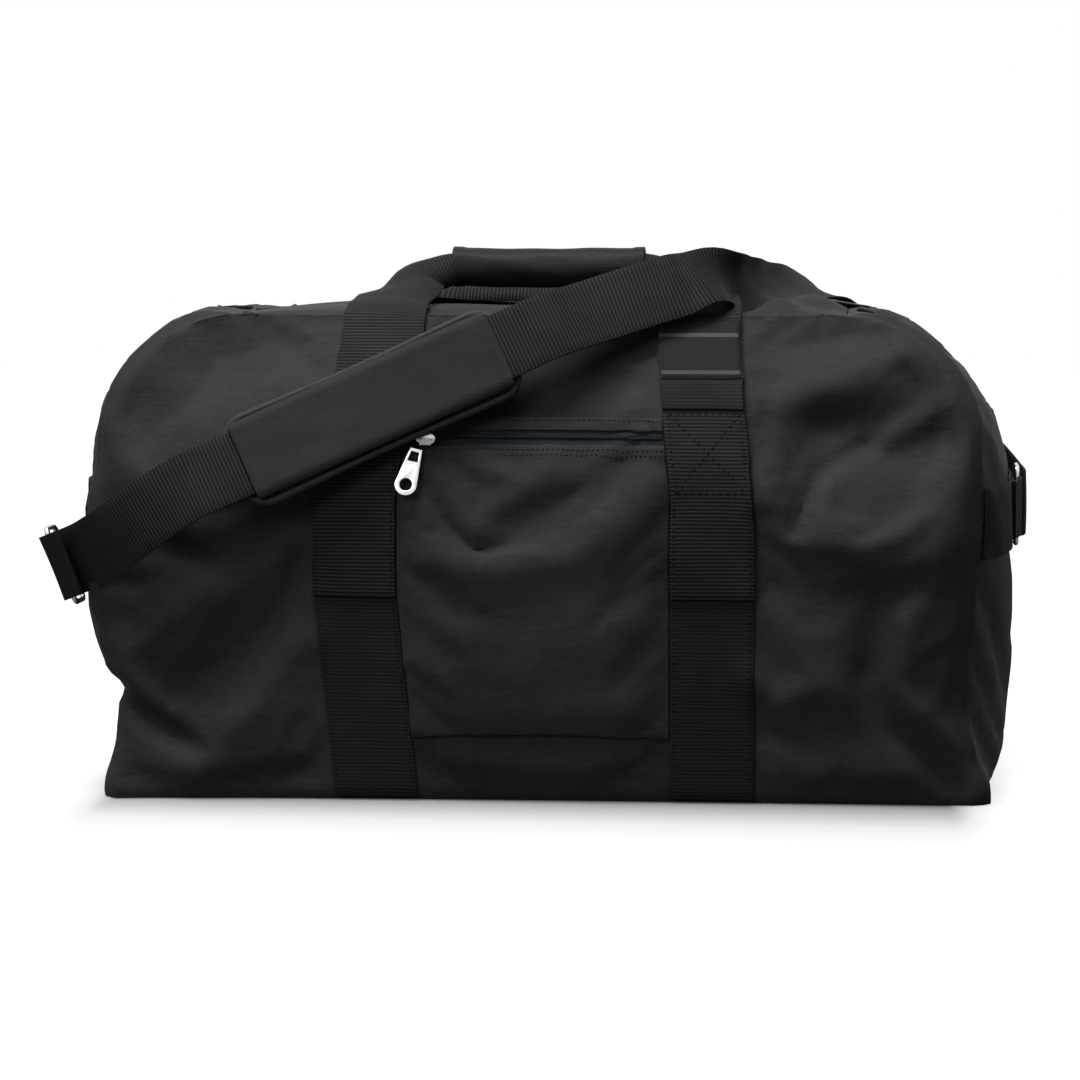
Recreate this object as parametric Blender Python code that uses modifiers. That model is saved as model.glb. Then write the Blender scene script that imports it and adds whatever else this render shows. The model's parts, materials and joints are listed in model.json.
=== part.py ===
"""Hockey equipment bag: a soft box with a zipped top, a zipped front pocket, two webbing
carry handles and a padded shoulder strap. Metres, +Z up, front towards -Y."""

import math

import bmesh
import bpy
from mathutils import Vector

# Body
HALF_LENGTH = 0.315
HEIGHT = 0.350
CORNER_RADIUS = 0.090
BASE_HALF_DEPTH = 0.150
BELLY_HALF_DEPTH = 0.158
TOP_HALF_DEPTH = 0.108
SHOULDER_START = 0.220
FRONT_BULGE = 0.014
FOOT_FILL = 0.6
FOOT_SPREAD = 0.018
FOOT_HEIGHT = 0.160
FOOT_SPREAD_FROM = 0.105
RIGHT_SWELL = ((0.0, 0.014), (0.25, 0.029), (0.38, 0.029), (0.46, 0.0262), (0.57, 0.0258),
               (0.75, 0.0165), (0.88, 0.005), (1.0, 0.003))
LEFT_SWELL = ((0.0, 0.004), (0.25, 0.014), (0.57, 0.016), (0.75, 0.013), (0.88, 0.005), (1.0, 0.003))
END_FULLNESS = 2.4
# Main folds of the free cloth beside the webbing: start, end, width, height
FOLDS = (
    ((0.262, 0.330), (0.178, 0.284), 0.024, 0.009),
    ((0.225, 0.283), (0.300, 0.272), 0.026, -0.006),
    ((0.205, 0.216), (0.300, 0.208), 0.024, 0.010),
    ((0.246, 0.150), (0.240, 0.095), 0.018, -0.005),
    ((0.275, 0.140), (0.275, 0.082), 0.018, 0.008),
    ((-0.170, 0.170), (-0.262, 0.066), 0.022, -0.005),
    ((-0.235, 0.150), (-0.290, 0.105), 0.022, 0.008),
    ((-0.180, 0.060), (-0.240, 0.026), 0.024, 0.008),
    ((-0.275, 0.225), (-0.180, 0.290), 0.030, 0.008),
)
FOLD_EDGE = 0.020
FOLD_START = 0.054
FOLD_CLEAR = 0.014
WALL = 0.0025
GAP = 0.0003
SEAM_INSET = 0.0045
TOP_HALF_LENGTH = HALF_LENGTH - CORNER_RADIUS
OUTLINE_LENGTH = HEIGHT - CORNER_RADIUS + CORNER_RADIUS * math.pi / 2.0

# Webbing and handles
WEBBING_WIDTH = 0.060
WEBBING_THICKNESS = 0.0018
WEBBING_LIFT = 0.0026
WEBBING_BOTTOM = 0.004
WEBBING_TOP = 0.346
LEFT_WEBBING_X = -0.126
LEFT_WEBBING_LEAN = 0.015
RIGHT_WEBBING_X = 0.131
LEAN_HEIGHT = 0.150
LEFT_TOP_LEAN = 0.015
RIGHT_TOP_LEAN = -0.012
TOP_LEAN_START = 0.220
TOP_LEAN_END = 0.330
HANDLE_END_BOTTOM = 0.149
HANDLE_END_THICKNESS = 0.0020
HANDLE_END_LIFT = 0.0053
HANDLE_THICKNESS = 0.0030
HANDLE_WIDTH = 0.058
GRIP_WEB_WIDTH = 0.022
GRIP_HALF_LENGTH = 0.073
GRIP_MOUTH = 0.079
GRIP_RADIUS = 0.0146
GRIP_WALL = 0.0012
HANDLE_ROOT = 0.0025
LEG_STEPS = 8
LEG_DRAW_IN = 0.6
FRONT_HINGE = Vector((0.0, -0.1115, 0.3535))
FRONT_REACH = 0.1015
FRONT_REST_ANGLE = math.radians(17.5)
REAR_HINGE = Vector((0.0, 0.1115, 0.3545))
REAR_REACH = 0.080
REAR_REST_ANGLE = math.radians(8.0)

# Label
LABEL_LEFT = 0.094
LABEL_RIGHT = 0.151
LABEL_BOTTOM = 0.302
LABEL_TOP = 0.338
LABEL_LIFT = 0.0070
LABEL_THICKNESS = 0.0010

# Front pocket
POCKET_BOTTOM = 0.047
POCKET_TOP = 0.251
POCKET_LIFT = 0.0030
POCKET_THICKNESS = 0.0015
POCKET_SIDE_GAP = 0.0008
POCKET_ZIP_Z = 0.2625
TAPE_WIDTH = 0.0085
TAPE_THICKNESS = 0.0010
TAPE_LIFT = 0.0022
COIL_RADIUS = 0.0013
COIL_GAP = 0.0009
COIL_STEPS = 12
POCKET_COIL_LIFT = 0.0028
POCKET_SLIDER_X = -0.0745
SLIDER_LENGTH = 0.014
SLIDER_WIDTH = 0.009
SLIDER_THICKNESS = 0.0034
BEVEL_SHARE = 0.25
POCKET_PULL_LENGTH = 0.034
POCKET_PULL_TOP_WIDTH = 0.009
POCKET_PULL_TIP_WIDTH = 0.016
POCKET_PULL_LEAN = math.radians(15.0)
POCKET_PULL_TILT = math.radians(13.0)
PULL_DROP = 0.0080
PULL_OFFSET = 0.0065
PULL_TAIL = 0.0012
PULL_STANDOFF = 0.0022
PULL_THICKNESS = 0.0016
PULL_HOLE_RADIUS = 0.0045

# Main zip on the top
FLAP_THICKNESS = 0.0018
FLAP_INNER_Y = 0.0045
FLAP_HINGE_GAP = 0.0015
FLAP_OUTER_Y = TOP_HALF_DEPTH - SEAM_INSET
MAIN_TAPE_WIDTH = 0.012
MAIN_COIL_Y = 0.0022
MAIN_COIL_RADIUS = 0.0017
MAIN_SLIDER_X = 0.212
MAIN_SLIDER_LENGTH = 0.022
MAIN_SLIDER_Z = 0.3523
MAIN_PULL_LENGTH = 0.030
MAIN_PULL_WIDTH = 0.010
MAIN_PULL_HOLE_RADIUS = 0.0027
ZIP_TAB_WIDTH = 0.026
ZIP_TAB_LENGTH = 0.022
ZIP_TAB_END = 0.985

# Ends
BAND_BOTTOM = 0.177
BAND_TOP = 0.228
BAND_LIFT = 0.0026
BAND_REACH = 0.94
RING_WIRE = 0.0020
RING_CORNER = 0.004
RING_INNER_WIDTH = 0.054
RING_LENGTH = 0.026
RING_TILT = math.radians(22.0)
TAB_WIDTH = 0.044
TAB_THICKNESS = 0.0016
LEFT_RING_HOME = Vector((-0.3480, -0.116, 0.166))
LEFT_TAB_ROOT = Vector((-0.3440, -0.066, 0.180))
RIGHT_RING_HOME = Vector((0.3530, 0.016, 0.203))
RIGHT_TAB_ROOT = Vector((0.3500, -0.026, 0.203))

# Shoulder strap
STRAP_WIDTH = 0.050
STRAP_THICKNESS = 0.0020
STRAP_LOOP_RADIUS = 0.0064
STRAP_TURN_BACK = 0.020
STRAP_LEAD = 0.014
STRAP_STEPS = 4
PAD_LOW_END = Vector((-0.215, -0.197, 0.241))
PAD_HIGH_END = Vector((-0.010, -0.160, 0.333))
PAD_FACING = Vector((0.0, -0.95, 0.31))
PAD_LENGTH = 0.214
PAD_WIDTH = 0.070
PAD_THICKNESS = 0.0092
PAD_WAIST = 0.05
PAD_TRAVEL = 0.025
SLEEVE_LENGTH = 0.200
SLEEVE_WIDTH = 0.060
SLEEVE_THICKNESS = 0.0012
STRAP_JOIN = 0.0012
TAB_SLACK = 0.0005

BLACK_FABRIC = (0.020, 0.020, 0.022)
BLACK_WEBBING = (0.012, 0.012, 0.011)
ZIP_TAPE = (0.020, 0.026, 0.031)
LABEL_BLACK = (0.010, 0.010, 0.011)
PAD_FABRIC = (0.016, 0.016, 0.017)
STEEL = (0.62, 0.63, 0.65)


def clear_scene():
    for item in list(bpy.data.objects):
        bpy.data.objects.remove(item, do_unlink=True)


def make_collection(name):
    collection = bpy.data.collections.new(name)
    bpy.context.scene.collection.children.link(collection)
    return collection


def make_material(name, colour, roughness, metallic=0.0):
    material = bpy.data.materials.new(name)
    material.use_nodes = True
    shader = material.node_tree.nodes["Principled BSDF"]
    shader.inputs["Base Color"].default_value = (*colour, 1.0)
    shader.inputs["Roughness"].default_value = roughness
    shader.inputs["Metallic"].default_value = metallic
    return material


def place_object(name, data, look, parent=None):
    """Link an object, give it its own material and hang it on its joint's empty."""
    item = bpy.data.objects.new(name, data)
    data.materials.append(make_material(name, *look))
    PARTS.objects.link(item)
    if parent is not None:
        item.parent = parent
        item.matrix_parent_inverse = parent.matrix_basis.inverted()
    return item


def pivot(name, position):
    empty = bpy.data.objects.new(name, None)
    empty.location = position
    PARTS.objects.link(empty)
    return empty


def lerp(start, end, share):
    return start + (end - start) * share


def sheet(name, columns, rows, place, thickness, offset, look, parent=None):
    """A grid laid out by place(u, v), both 0 to 1, and thickened into a closed skin."""
    mesh = bpy.data.meshes.new(name)
    grid = bmesh.new()
    bmesh.ops.create_grid(grid, x_segments=columns, y_segments=rows, size=0.5)
    for vert in grid.verts:
        vert.co = place(vert.co.x + 0.5, vert.co.y + 0.5)
    grid.to_mesh(mesh)
    grid.free()
    item = place_object(name, mesh, look, parent)
    skin = item.modifiers.new("Solidify", "SOLIDIFY")
    skin.thickness = thickness
    skin.offset = offset
    skin.use_even_offset = True
    mesh.shade_smooth()
    mesh.set_sharp_from_angle(angle=math.radians(40.0))
    return item


def smooth_route(points, steps):
    """Points of a smooth curve through the given ones, steps to each span."""
    spans = [(after - before).length for before, after in zip(points, points[1:])]
    chords = [(points[i + 1] - points[i]) / spans[i] for i in range(len(spans))]
    slopes = [chords[0]]
    for index in range(1, len(spans)):
        share = spans[index - 1] / (spans[index - 1] + spans[index])
        slopes.append(chords[index - 1].lerp(chords[index], share))
    slopes.append(chords[-1])
    route = []
    for index, span in enumerate(spans):
        for step in range(steps):
            t = step / steps
            ease = t * t * (3.0 - 2.0 * t)
            route.append(points[index].lerp(points[index + 1], ease)
                         + slopes[index] * (span * t * (1.0 - t) ** 2)
                         - slopes[index + 1] * (span * t ** 2 * (1.0 - t)))
    route.append(points[-1].copy())
    return route


def turning_faces(faces, steps):
    """The way a band looks at each step of a route, turning evenly along each span."""
    looks = []
    for start, end in zip(faces, faces[1:]):
        looks += [start.lerp(end, step / steps) for step in range(steps)]
    looks.append(faces[-1].copy())
    return looks


def ribbon(name, route, facings, widths, thickness, look, parent=None, columns=2):
    """A flat band along a route: each point has the way its face looks and its width."""
    last = len(route) - 1
    across = []
    for index, facing in enumerate(facings):
        tangent = route[min(index + 1, last)] - route[max(index - 1, 0)]
        across.append(facing.cross(tangent).normalized())

    def place(u, v):
        index = round(v * last)
        return route[index] + across[index] * (widths[index] * (u - 0.5))

    return sheet(name, columns, last, place, thickness, 0.0, look, parent)


def tube(name, points, radius, look, parent=None, cyclic=False, resolution=2):
    curve = bpy.data.curves.new(name, "CURVE")
    curve.dimensions = "3D"
    curve.bevel_depth = radius
    curve.bevel_resolution = resolution
    curve.use_fill_caps = True
    spline = curve.splines.new("POLY")
    spline.points.add(len(points) - 1)
    for target, point in zip(spline.points, points):
        target.co = (*point, 1.0)
    spline.use_cyclic_u = cyclic
    return place_object(name, curve, look, parent)


def outline_plate(name, outlines, thickness, look, parent=None):
    """A flat plate from closed outlines in its own X-Y plane; inner ones are holes."""
    curve = bpy.data.curves.new(name, "CURVE")
    curve.dimensions = "2D"
    curve.fill_mode = "BOTH"
    curve.extrude = thickness / 2.0
    for outline in outlines:
        spline = curve.splines.new("POLY")
        spline.points.add(len(outline) - 1)
        for target, (x, y) in zip(spline.points, outline):
            target.co = (x, y, 0.0, 1.0)
        spline.use_cyclic_u = True
    return place_object(name, curve, look, parent)


def arc(centre_x, centre_y, radius, start, end, steps):
    points = []
    for step in range(steps + 1):
        angle = math.radians(lerp(start, end, step / steps))
        points.append((centre_x + radius * math.cos(angle), centre_y + radius * math.sin(angle)))
    return points


def half_length(z):
    """Half the length of the front panel at a height: straight sides, rounded top corners."""
    rise = max(z - (HEIGHT - CORNER_RADIUS), 0.0)
    return TOP_HALF_LENGTH + math.sqrt(max(CORNER_RADIUS ** 2 - rise ** 2, 0.0))


def half_depth(x, z):
    """Half the depth of the body: full belly, top leaning in, the foot spread at the left end."""
    if z >= SHOULDER_START:
        lean = (z - SHOULDER_START) / (HEIGHT - SHOULDER_START)
        return lerp(BELLY_HALF_DEPTH, TOP_HALF_DEPTH, lean ** 2)
    depth = lerp(BASE_HALF_DEPTH, BELLY_HALF_DEPTH, math.sin(z / SHOULDER_START * math.pi / 2.0))
    leftward = min(max((FOOT_SPREAD_FROM - x) / (FOOT_SPREAD_FROM + HALF_LENGTH), 0.0), 1.0)
    low = min(max(1.0 - z / FOOT_HEIGHT, 0.0), 1.0)
    return depth + FOOT_SPREAD * leftward ** 2 * low ** 2


def front_y(x, z):
    fill = 1.0 - (x / max(half_length(z), TOP_HALF_LENGTH)) ** 2
    height_share = min(max(z / HEIGHT, 0.0), 1.0)
    full = math.sin(math.pi * height_share)
    if height_share < 0.5:
        full = lerp(FOOT_FILL, 1.0, full)
    return -(half_depth(x, z) + FRONT_BULGE * fill * full)


def front_point(x, z, lift=0.0, side=-1.0):
    """A point on the front (side -1) or back (side 1) face, lifted off along its normal."""
    step = 0.0005
    slope_x = (front_y(x + step, z) - front_y(x - step, z)) / (2.0 * step)
    slope_z = (front_y(x, z + step) - front_y(x, z - step)) / (2.0 * step)
    normal = Vector((slope_x, -1.0, slope_z)).normalized()
    point = Vector((x, front_y(x, z), z)) + normal * lift
    point.y *= -side
    return point


def outline_point(share):
    """Point and outward normal on the right half of the body's end-on outline."""
    straight = HEIGHT - CORNER_RADIUS
    run = share * OUTLINE_LENGTH
    if run <= straight:
        return Vector((HALF_LENGTH, 0.0, run)), Vector((1.0, 0.0, 0.0))
    angle = (run - straight) / CORNER_RADIUS
    normal = Vector((math.cos(angle), 0.0, math.sin(angle)))
    return Vector((TOP_HALF_LENGTH, 0.0, straight)) + normal * CORNER_RADIUS, normal


def end_point(share, depth_share, lift=0.0, side=1.0):
    """A point on an end panel: share runs up the outline, depth_share from -1 to 1."""
    point, normal = outline_point(share)
    depth = half_depth(point.x * side, point.z) - SEAM_INSET
    fullness = max(1.0 - abs(depth_share) ** END_FULLNESS, 0.0)
    swell = between(RIGHT_SWELL if side > 0.0 else LEFT_SWELL, share) * fullness
    point += normal * (swell + lift)
    point.y = depth_share * depth
    point.x *= side
    return point


def between(knots, value):
    """A smooth amount read from a short list of (place, amount) pairs."""
    for (start, low), (end, high) in zip(knots, knots[1:]):
        if value <= end:
            share = max((value - start) / (end - start), 0.0)
            return lerp(low, high, share * share * (3.0 - 2.0 * share))
    return knots[-1][1]


def end_share(z):
    """Share of the end outline at a height below the rounded corner."""
    return z / OUTLINE_LENGTH


def fold_height(x, z):
    """How far the main folds stand out from, or sink into, the smooth face."""
    total = 0.0
    for (start_x, start_z), (end_x, end_z), width, height in FOLDS:
        line = Vector((end_x - start_x, end_z - start_z))
        reach = Vector((x - start_x, z - start_z))
        share = min(max(reach.dot(line) / line.length_squared, 0.0), 1.0)
        total += height * math.exp(-((reach - line * share).length / width) ** 2)
    return total


def free_cloth(x, z):
    """1 where the cloth of a face is free to fold, 0 under the webbing and at the seams."""
    from_seam = (half_length(z) - abs(x)) / FOLD_EDGE
    from_webbing = (abs(x) - abs(webbing_x(x, z)) - FOLD_START) / FOLD_CLEAR
    return min(max(min(from_seam, from_webbing), 0.0), 1.0)


def body_panels():
    """The main fabric panels: front, back, base and the two ends."""
    fabric = (BLACK_FABRIC, 0.75)
    straight_share = 0.6

    def panel(side):
        def place(u, v):
            if v <= straight_share:
                z = lerp(2.0 * GAP, HEIGHT - CORNER_RADIUS, v / straight_share)
            else:
                angle = (v - straight_share) / (1.0 - straight_share) * math.pi / 2.0
                z = HEIGHT - CORNER_RADIUS + CORNER_RADIUS * math.sin(angle)
            x = (2.0 * u - 1.0) * half_length(z)
            return front_point(x, z, fold_height(-side * x, z) * free_cloth(x, z), side)
        return place

    sheet("front_panel", 26, 24, panel(-1.0), WALL, -1.0, fabric)
    sheet("back_panel", 26, 24, panel(1.0), WALL, 1.0, fabric)

    half_x = HALF_LENGTH - WALL - GAP

    def base(u, v):
        x = half_x * (2.0 * u - 1.0)
        return Vector((x, (2.0 * v - 1.0) * (-front_y(x, 0.0) - WALL - 2.0 * GAP), 0.0))

    sheet("base_panel", 16, 1, base, WALL, 1.0, fabric)

    for name, side in (("end_panel_right", 1.0), ("end_panel_left", -1.0)):
        def place(u, v, side=side):
            return end_point(v, 2.0 * u - 1.0, 0.0, side)
        sheet(name, 10, 16, place, WALL, -side, fabric)


def webbing_x(side_x, z):
    """Centre line of a webbing: both draw in towards the top, the left one also towards the base."""
    rise = min(max((z - TOP_LEAN_START) / (TOP_LEAN_END - TOP_LEAN_START), 0.0), 1.0)
    if side_x > 0.0:
        return RIGHT_WEBBING_X + RIGHT_TOP_LEAN * rise
    return LEFT_WEBBING_X + LEFT_TOP_LEAN * rise + LEFT_WEBBING_LEAN * max(1.0 - z / LEAN_HEIGHT, 0.0)


def strip_on_skin(name, side_x, side_y, bottom, top, lift, thickness, look):
    def place(u, v):
        z = lerp(bottom, top, v)
        x = webbing_x(side_x, z) + WEBBING_WIDTH * (u - 0.5)
        return front_point(x, z, lift, side_y)
    sheet(name, 2, 14, place, thickness, side_y, look)


def webbings():
    webbing = (BLACK_WEBBING, 0.65)
    for face, side_y in (("front", -1.0), ("back", 1.0)):
        for hand, side_x in (("left", -1.0), ("right", 1.0)):
            strip_on_skin(f"webbing_{face}_{hand}", side_x, side_y, WEBBING_BOTTOM, WEBBING_TOP,
                          WEBBING_LIFT, WEBBING_THICKNESS, webbing)
            strip_on_skin(f"handle_end_{face}_{hand}", side_x, side_y, HANDLE_END_BOTTOM,
                          WEBBING_TOP, HANDLE_END_LIFT, HANDLE_END_THICKNESS, webbing)


def label():
    def place(u, v):
        x = lerp(LABEL_LEFT, LABEL_RIGHT, u)
        return front_point(x, lerp(LABEL_BOTTOM, LABEL_TOP, v), LABEL_LIFT)
    sheet("label_patch", 3, 4, place, LABEL_THICKNESS, -1.0, (LABEL_BLACK, 0.6))


def pocket_edges(z):
    inset = WEBBING_WIDTH / 2.0 + POCKET_SIDE_GAP
    return webbing_x(-1.0, z) + inset, webbing_x(1.0, z) - inset


def front_pocket():
    """The flat pocket, its zip, and the slider that runs along it."""
    def strip(bottom, top, lift):
        def place(u, v):
            z = lerp(bottom, top, v)
            left, right = pocket_edges(z)
            return front_point(lerp(left, right, u), z, lift)
        return place

    tape = (ZIP_TAPE, 0.8)
    sheet("pocket_panel", 10, 12, strip(POCKET_BOTTOM, POCKET_TOP, POCKET_LIFT), POCKET_THICKNESS,
          -1.0, (BLACK_FABRIC, 0.75))
    low_top = POCKET_ZIP_Z - COIL_RADIUS - COIL_GAP
    high_bottom = POCKET_ZIP_Z + COIL_RADIUS + COIL_GAP
    sheet("pocket_zip_tape_lower", 10, 1, strip(low_top - TAPE_WIDTH, low_top, TAPE_LIFT),
          TAPE_THICKNESS, -1.0, tape)
    sheet("pocket_zip_tape_upper", 10, 1, strip(high_bottom, high_bottom + TAPE_WIDTH, TAPE_LIFT),
          TAPE_THICKNESS, -1.0, tape)
    left, right = pocket_edges(POCKET_ZIP_Z)
    coil_points = []
    for step in range(COIL_STEPS + 1):
        x = lerp(left + COIL_GAP, right - COIL_GAP, step / COIL_STEPS)
        coil_points.append(front_point(x, POCKET_ZIP_Z, POCKET_COIL_LIFT))
    tube("pocket_zip_coil", coil_points, COIL_RADIUS, (ZIP_TAPE, 0.5))

    coil_front = front_point(0.0, POCKET_ZIP_Z, POCKET_COIL_LIFT).y - COIL_RADIUS
    centre = Vector((POCKET_SLIDER_X, coil_front - GAP - SLIDER_THICKNESS / 2.0, POCKET_ZIP_Z))
    slider_home = pivot("pocket_slider_home", centre)
    block("pocket_slider", (SLIDER_LENGTH, SLIDER_THICKNESS, SLIDER_WIDTH), centre, slider_home)

    pull_y = centre.y - SLIDER_THICKNESS / 2.0 - PULL_THICKNESS - 3.0 * GAP
    hinge = Vector((POCKET_SLIDER_X - PULL_OFFSET, pull_y, POCKET_ZIP_Z - PULL_DROP))
    pull = outline_plate("pocket_pull", pull_outline(), PULL_THICKNESS, (STEEL, 0.3, 1.0))
    pull.location = hinge
    pull.rotation_euler = (math.pi / 2.0 - POCKET_PULL_TILT, POCKET_PULL_LEAN, 0.0)


def pull_outline():
    """Tapered tag with a round end and a hole near its tip, hanging down from its pivot."""
    top = POCKET_PULL_TOP_WIDTH / 2.0
    tip = POCKET_PULL_TIP_WIDTH / 2.0
    tip_y = tip - POCKET_PULL_LENGTH
    outside = [(top, PULL_TAIL), (-top, PULL_TAIL)] + arc(0.0, tip_y, tip, 180.0, 360.0, 12)
    hole = arc(0.0, tip_y, PULL_HOLE_RADIUS, 0.0, 337.5, 15)
    return outside, hole


def block(name, size, centre, parent):
    """A small rounded metal body."""
    mesh = bpy.data.meshes.new(name)
    box = bmesh.new()
    bmesh.ops.create_cube(box, size=1.0)
    for vert in box.verts:
        vert.co = Vector((vert.co.x * size[0], vert.co.y * size[1], vert.co.z * size[2])) + centre
    box.to_mesh(mesh)
    box.free()
    item = place_object(name, mesh, (STEEL, 0.35, 1.0), parent)
    edge = item.modifiers.new("Bevel", "BEVEL")
    edge.width = min(size) * BEVEL_SHARE
    edge.segments = 2
    return item


def top_and_main_zip():
    """Two top strips that fold in, with the main zip between them."""
    tape = (ZIP_TAPE, 0.8)
    half_x = TOP_HALF_LENGTH - 2.0 * GAP
    for face, side in (("front", -1.0), ("rear", 1.0)):
        hinge_y = side * (FLAP_OUTER_Y + FLAP_HINGE_GAP)
        hinge = pivot(f"top_{face}_hinge", (0.0, hinge_y, HEIGHT - FLAP_THICKNESS / 2.0))

        def strip(inner, outer, z, half=half_x, side=side):
            def place(u, v):
                return Vector((half * (2.0 * u - 1.0), side * lerp(outer, inner, v), z))
            return place

        sheet(f"top_panel_{face}", 4, 1, strip(FLAP_INNER_Y, FLAP_OUTER_Y, HEIGHT), FLAP_THICKNESS,
              side, (BLACK_FABRIC, 0.75), hinge)
        tape_z = HEIGHT + GAP + TAPE_THICKNESS
        tape_outer = FLAP_INNER_Y + MAIN_TAPE_WIDTH
        sheet(f"main_zip_tape_{face}", 4, 1, strip(FLAP_INNER_Y, tape_outer, tape_z), TAPE_THICKNESS,
              side, tape, hinge)
        coil_y = side * MAIN_COIL_Y
        ends = [Vector((-half_x, coil_y, HEIGHT)), Vector((half_x, coil_y, HEIGHT))]
        tube(f"main_zip_coil_{face}", ends, MAIN_COIL_RADIUS, (ZIP_TAPE, 0.5), hinge)

    for hand, side in (("right", 1.0), ("left", -1.0)):
        def tab(u, v, side=side):
            share = lerp(ZIP_TAB_END - ZIP_TAB_LENGTH / OUTLINE_LENGTH, ZIP_TAB_END, v)
            spread = ZIP_TAB_WIDTH / 2.0 / TOP_HALF_DEPTH
            return end_point(share, lerp(-spread, spread, u), BAND_LIFT, side)
        sheet(f"zip_end_tab_{hand}", 2, 3, tab, WEBBING_THICKNESS, -side, (BLACK_WEBBING, 0.65))

    centre = Vector((MAIN_SLIDER_X, 0.0, MAIN_SLIDER_Z + SLIDER_THICKNESS / 2.0))
    slider_home = pivot("main_slider_home", centre)
    block("main_slider", (MAIN_SLIDER_LENGTH, SLIDER_WIDTH, SLIDER_THICKNESS), centre, slider_home)
    half = MAIN_PULL_WIDTH / 2.0
    far = MAIN_PULL_LENGTH - half
    outside = [(-PULL_TAIL, half), (-PULL_TAIL, -half)] + arc(far, 0.0, half, -90.0, 90.0, 8)
    hole = arc(far, 0.0, MAIN_PULL_HOLE_RADIUS, 0.0, 330.0, 11)
    pull = outline_plate("main_pull", (outside, hole), PULL_THICKNESS, (STEEL, 0.3, 1.0))
    pull.location = centre + Vector((0.0, 0.0, SLIDER_THICKNESS / 2.0 + PULL_STANDOFF))


def handle(name, hinge_point, rest_angle, reach, toward):
    """A webbing loop that lies over the top: two legs that draw in to a narrow grip."""
    out = Vector((0.0, toward * math.cos(rest_angle), math.sin(rest_angle)))
    facing = Vector((0.0, -toward * math.sin(rest_angle), math.cos(rest_angle)))
    flat = []
    for step in range(LEG_STEPS + 1):
        share = step / LEG_STEPS
        angle = share * math.pi / 2.0
        flat.append(((1.0 - math.cos(angle)) ** LEG_DRAW_IN, math.sin(angle), share))
    route = []
    widths = []
    for inward, rise, share in flat:
        x = lerp(webbing_x(-1.0, HEIGHT), -GRIP_MOUTH, inward)
        route.append(hinge_point + Vector((x, 0.0, 0.0)) + out * lerp(HANDLE_ROOT, reach, rise))
        widths.append(lerp(HANDLE_WIDTH, GRIP_WEB_WIDTH, share))
    for inward, rise, share in reversed(flat):
        x = lerp(webbing_x(1.0, HEIGHT), GRIP_MOUTH, inward)
        route.append(hinge_point + Vector((x, 0.0, 0.0)) + out * lerp(HANDLE_ROOT, reach, rise))
        widths.append(lerp(HANDLE_WIDTH, GRIP_WEB_WIDTH, share))
    hinge = pivot(f"{name}_hinge", hinge_point)
    ribbon(name, route, [facing] * len(route), widths, HANDLE_THICKNESS, (BLACK_WEBBING, 0.65), hinge)
    return hinge, hinge_point + out * reach


def handles():
    hinge, centre = handle("front_handle", FRONT_HINGE, FRONT_REST_ANGLE, FRONT_REACH, 1.0)
    mesh = bpy.data.meshes.new("grip_wrap")
    roll = bmesh.new()
    bmesh.ops.create_cone(roll, cap_ends=False, segments=20, radius1=GRIP_RADIUS, radius2=GRIP_RADIUS,
                          depth=2.0 * GRIP_HALF_LENGTH)
    for vert in roll.verts:
        vert.co = Vector((vert.co.z, vert.co.y, vert.co.x)) + centre
    bmesh.ops.recalc_face_normals(roll, faces=roll.faces)
    roll.to_mesh(mesh)
    roll.free()
    wrap = place_object("grip_wrap", mesh, (BLACK_FABRIC, 0.6), hinge)
    skin = wrap.modifiers.new("Solidify", "SOLIDIFY")
    skin.thickness = GRIP_WALL
    skin.offset = -1.0
    handle("rear_handle", REAR_HINGE, REAR_REST_ANGLE, REAR_REACH, -1.0)


def end_bands():
    """A webbing band across each end, level with the strap rings."""
    for hand, side in (("right", 1.0), ("left", -1.0)):
        def place(u, v, side=side):
            share = end_share(lerp(BAND_BOTTOM, BAND_TOP, v))
            return end_point(share, lerp(-BAND_REACH, BAND_REACH, u), BAND_LIFT, side)
        sheet(f"end_band_{hand}", 10, 2, place, WEBBING_THICKNESS, -side, (BLACK_WEBBING, 0.65))


def ring_axes(side):
    """Bar direction of a strap ring, and the way from its held bar to the strap."""
    tilt = RING_TILT if side < 0.0 else 0.0
    bar = Vector((math.sin(tilt), 0.0, -math.cos(tilt)))
    return bar, Vector((0.0, side, 0.0))


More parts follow.
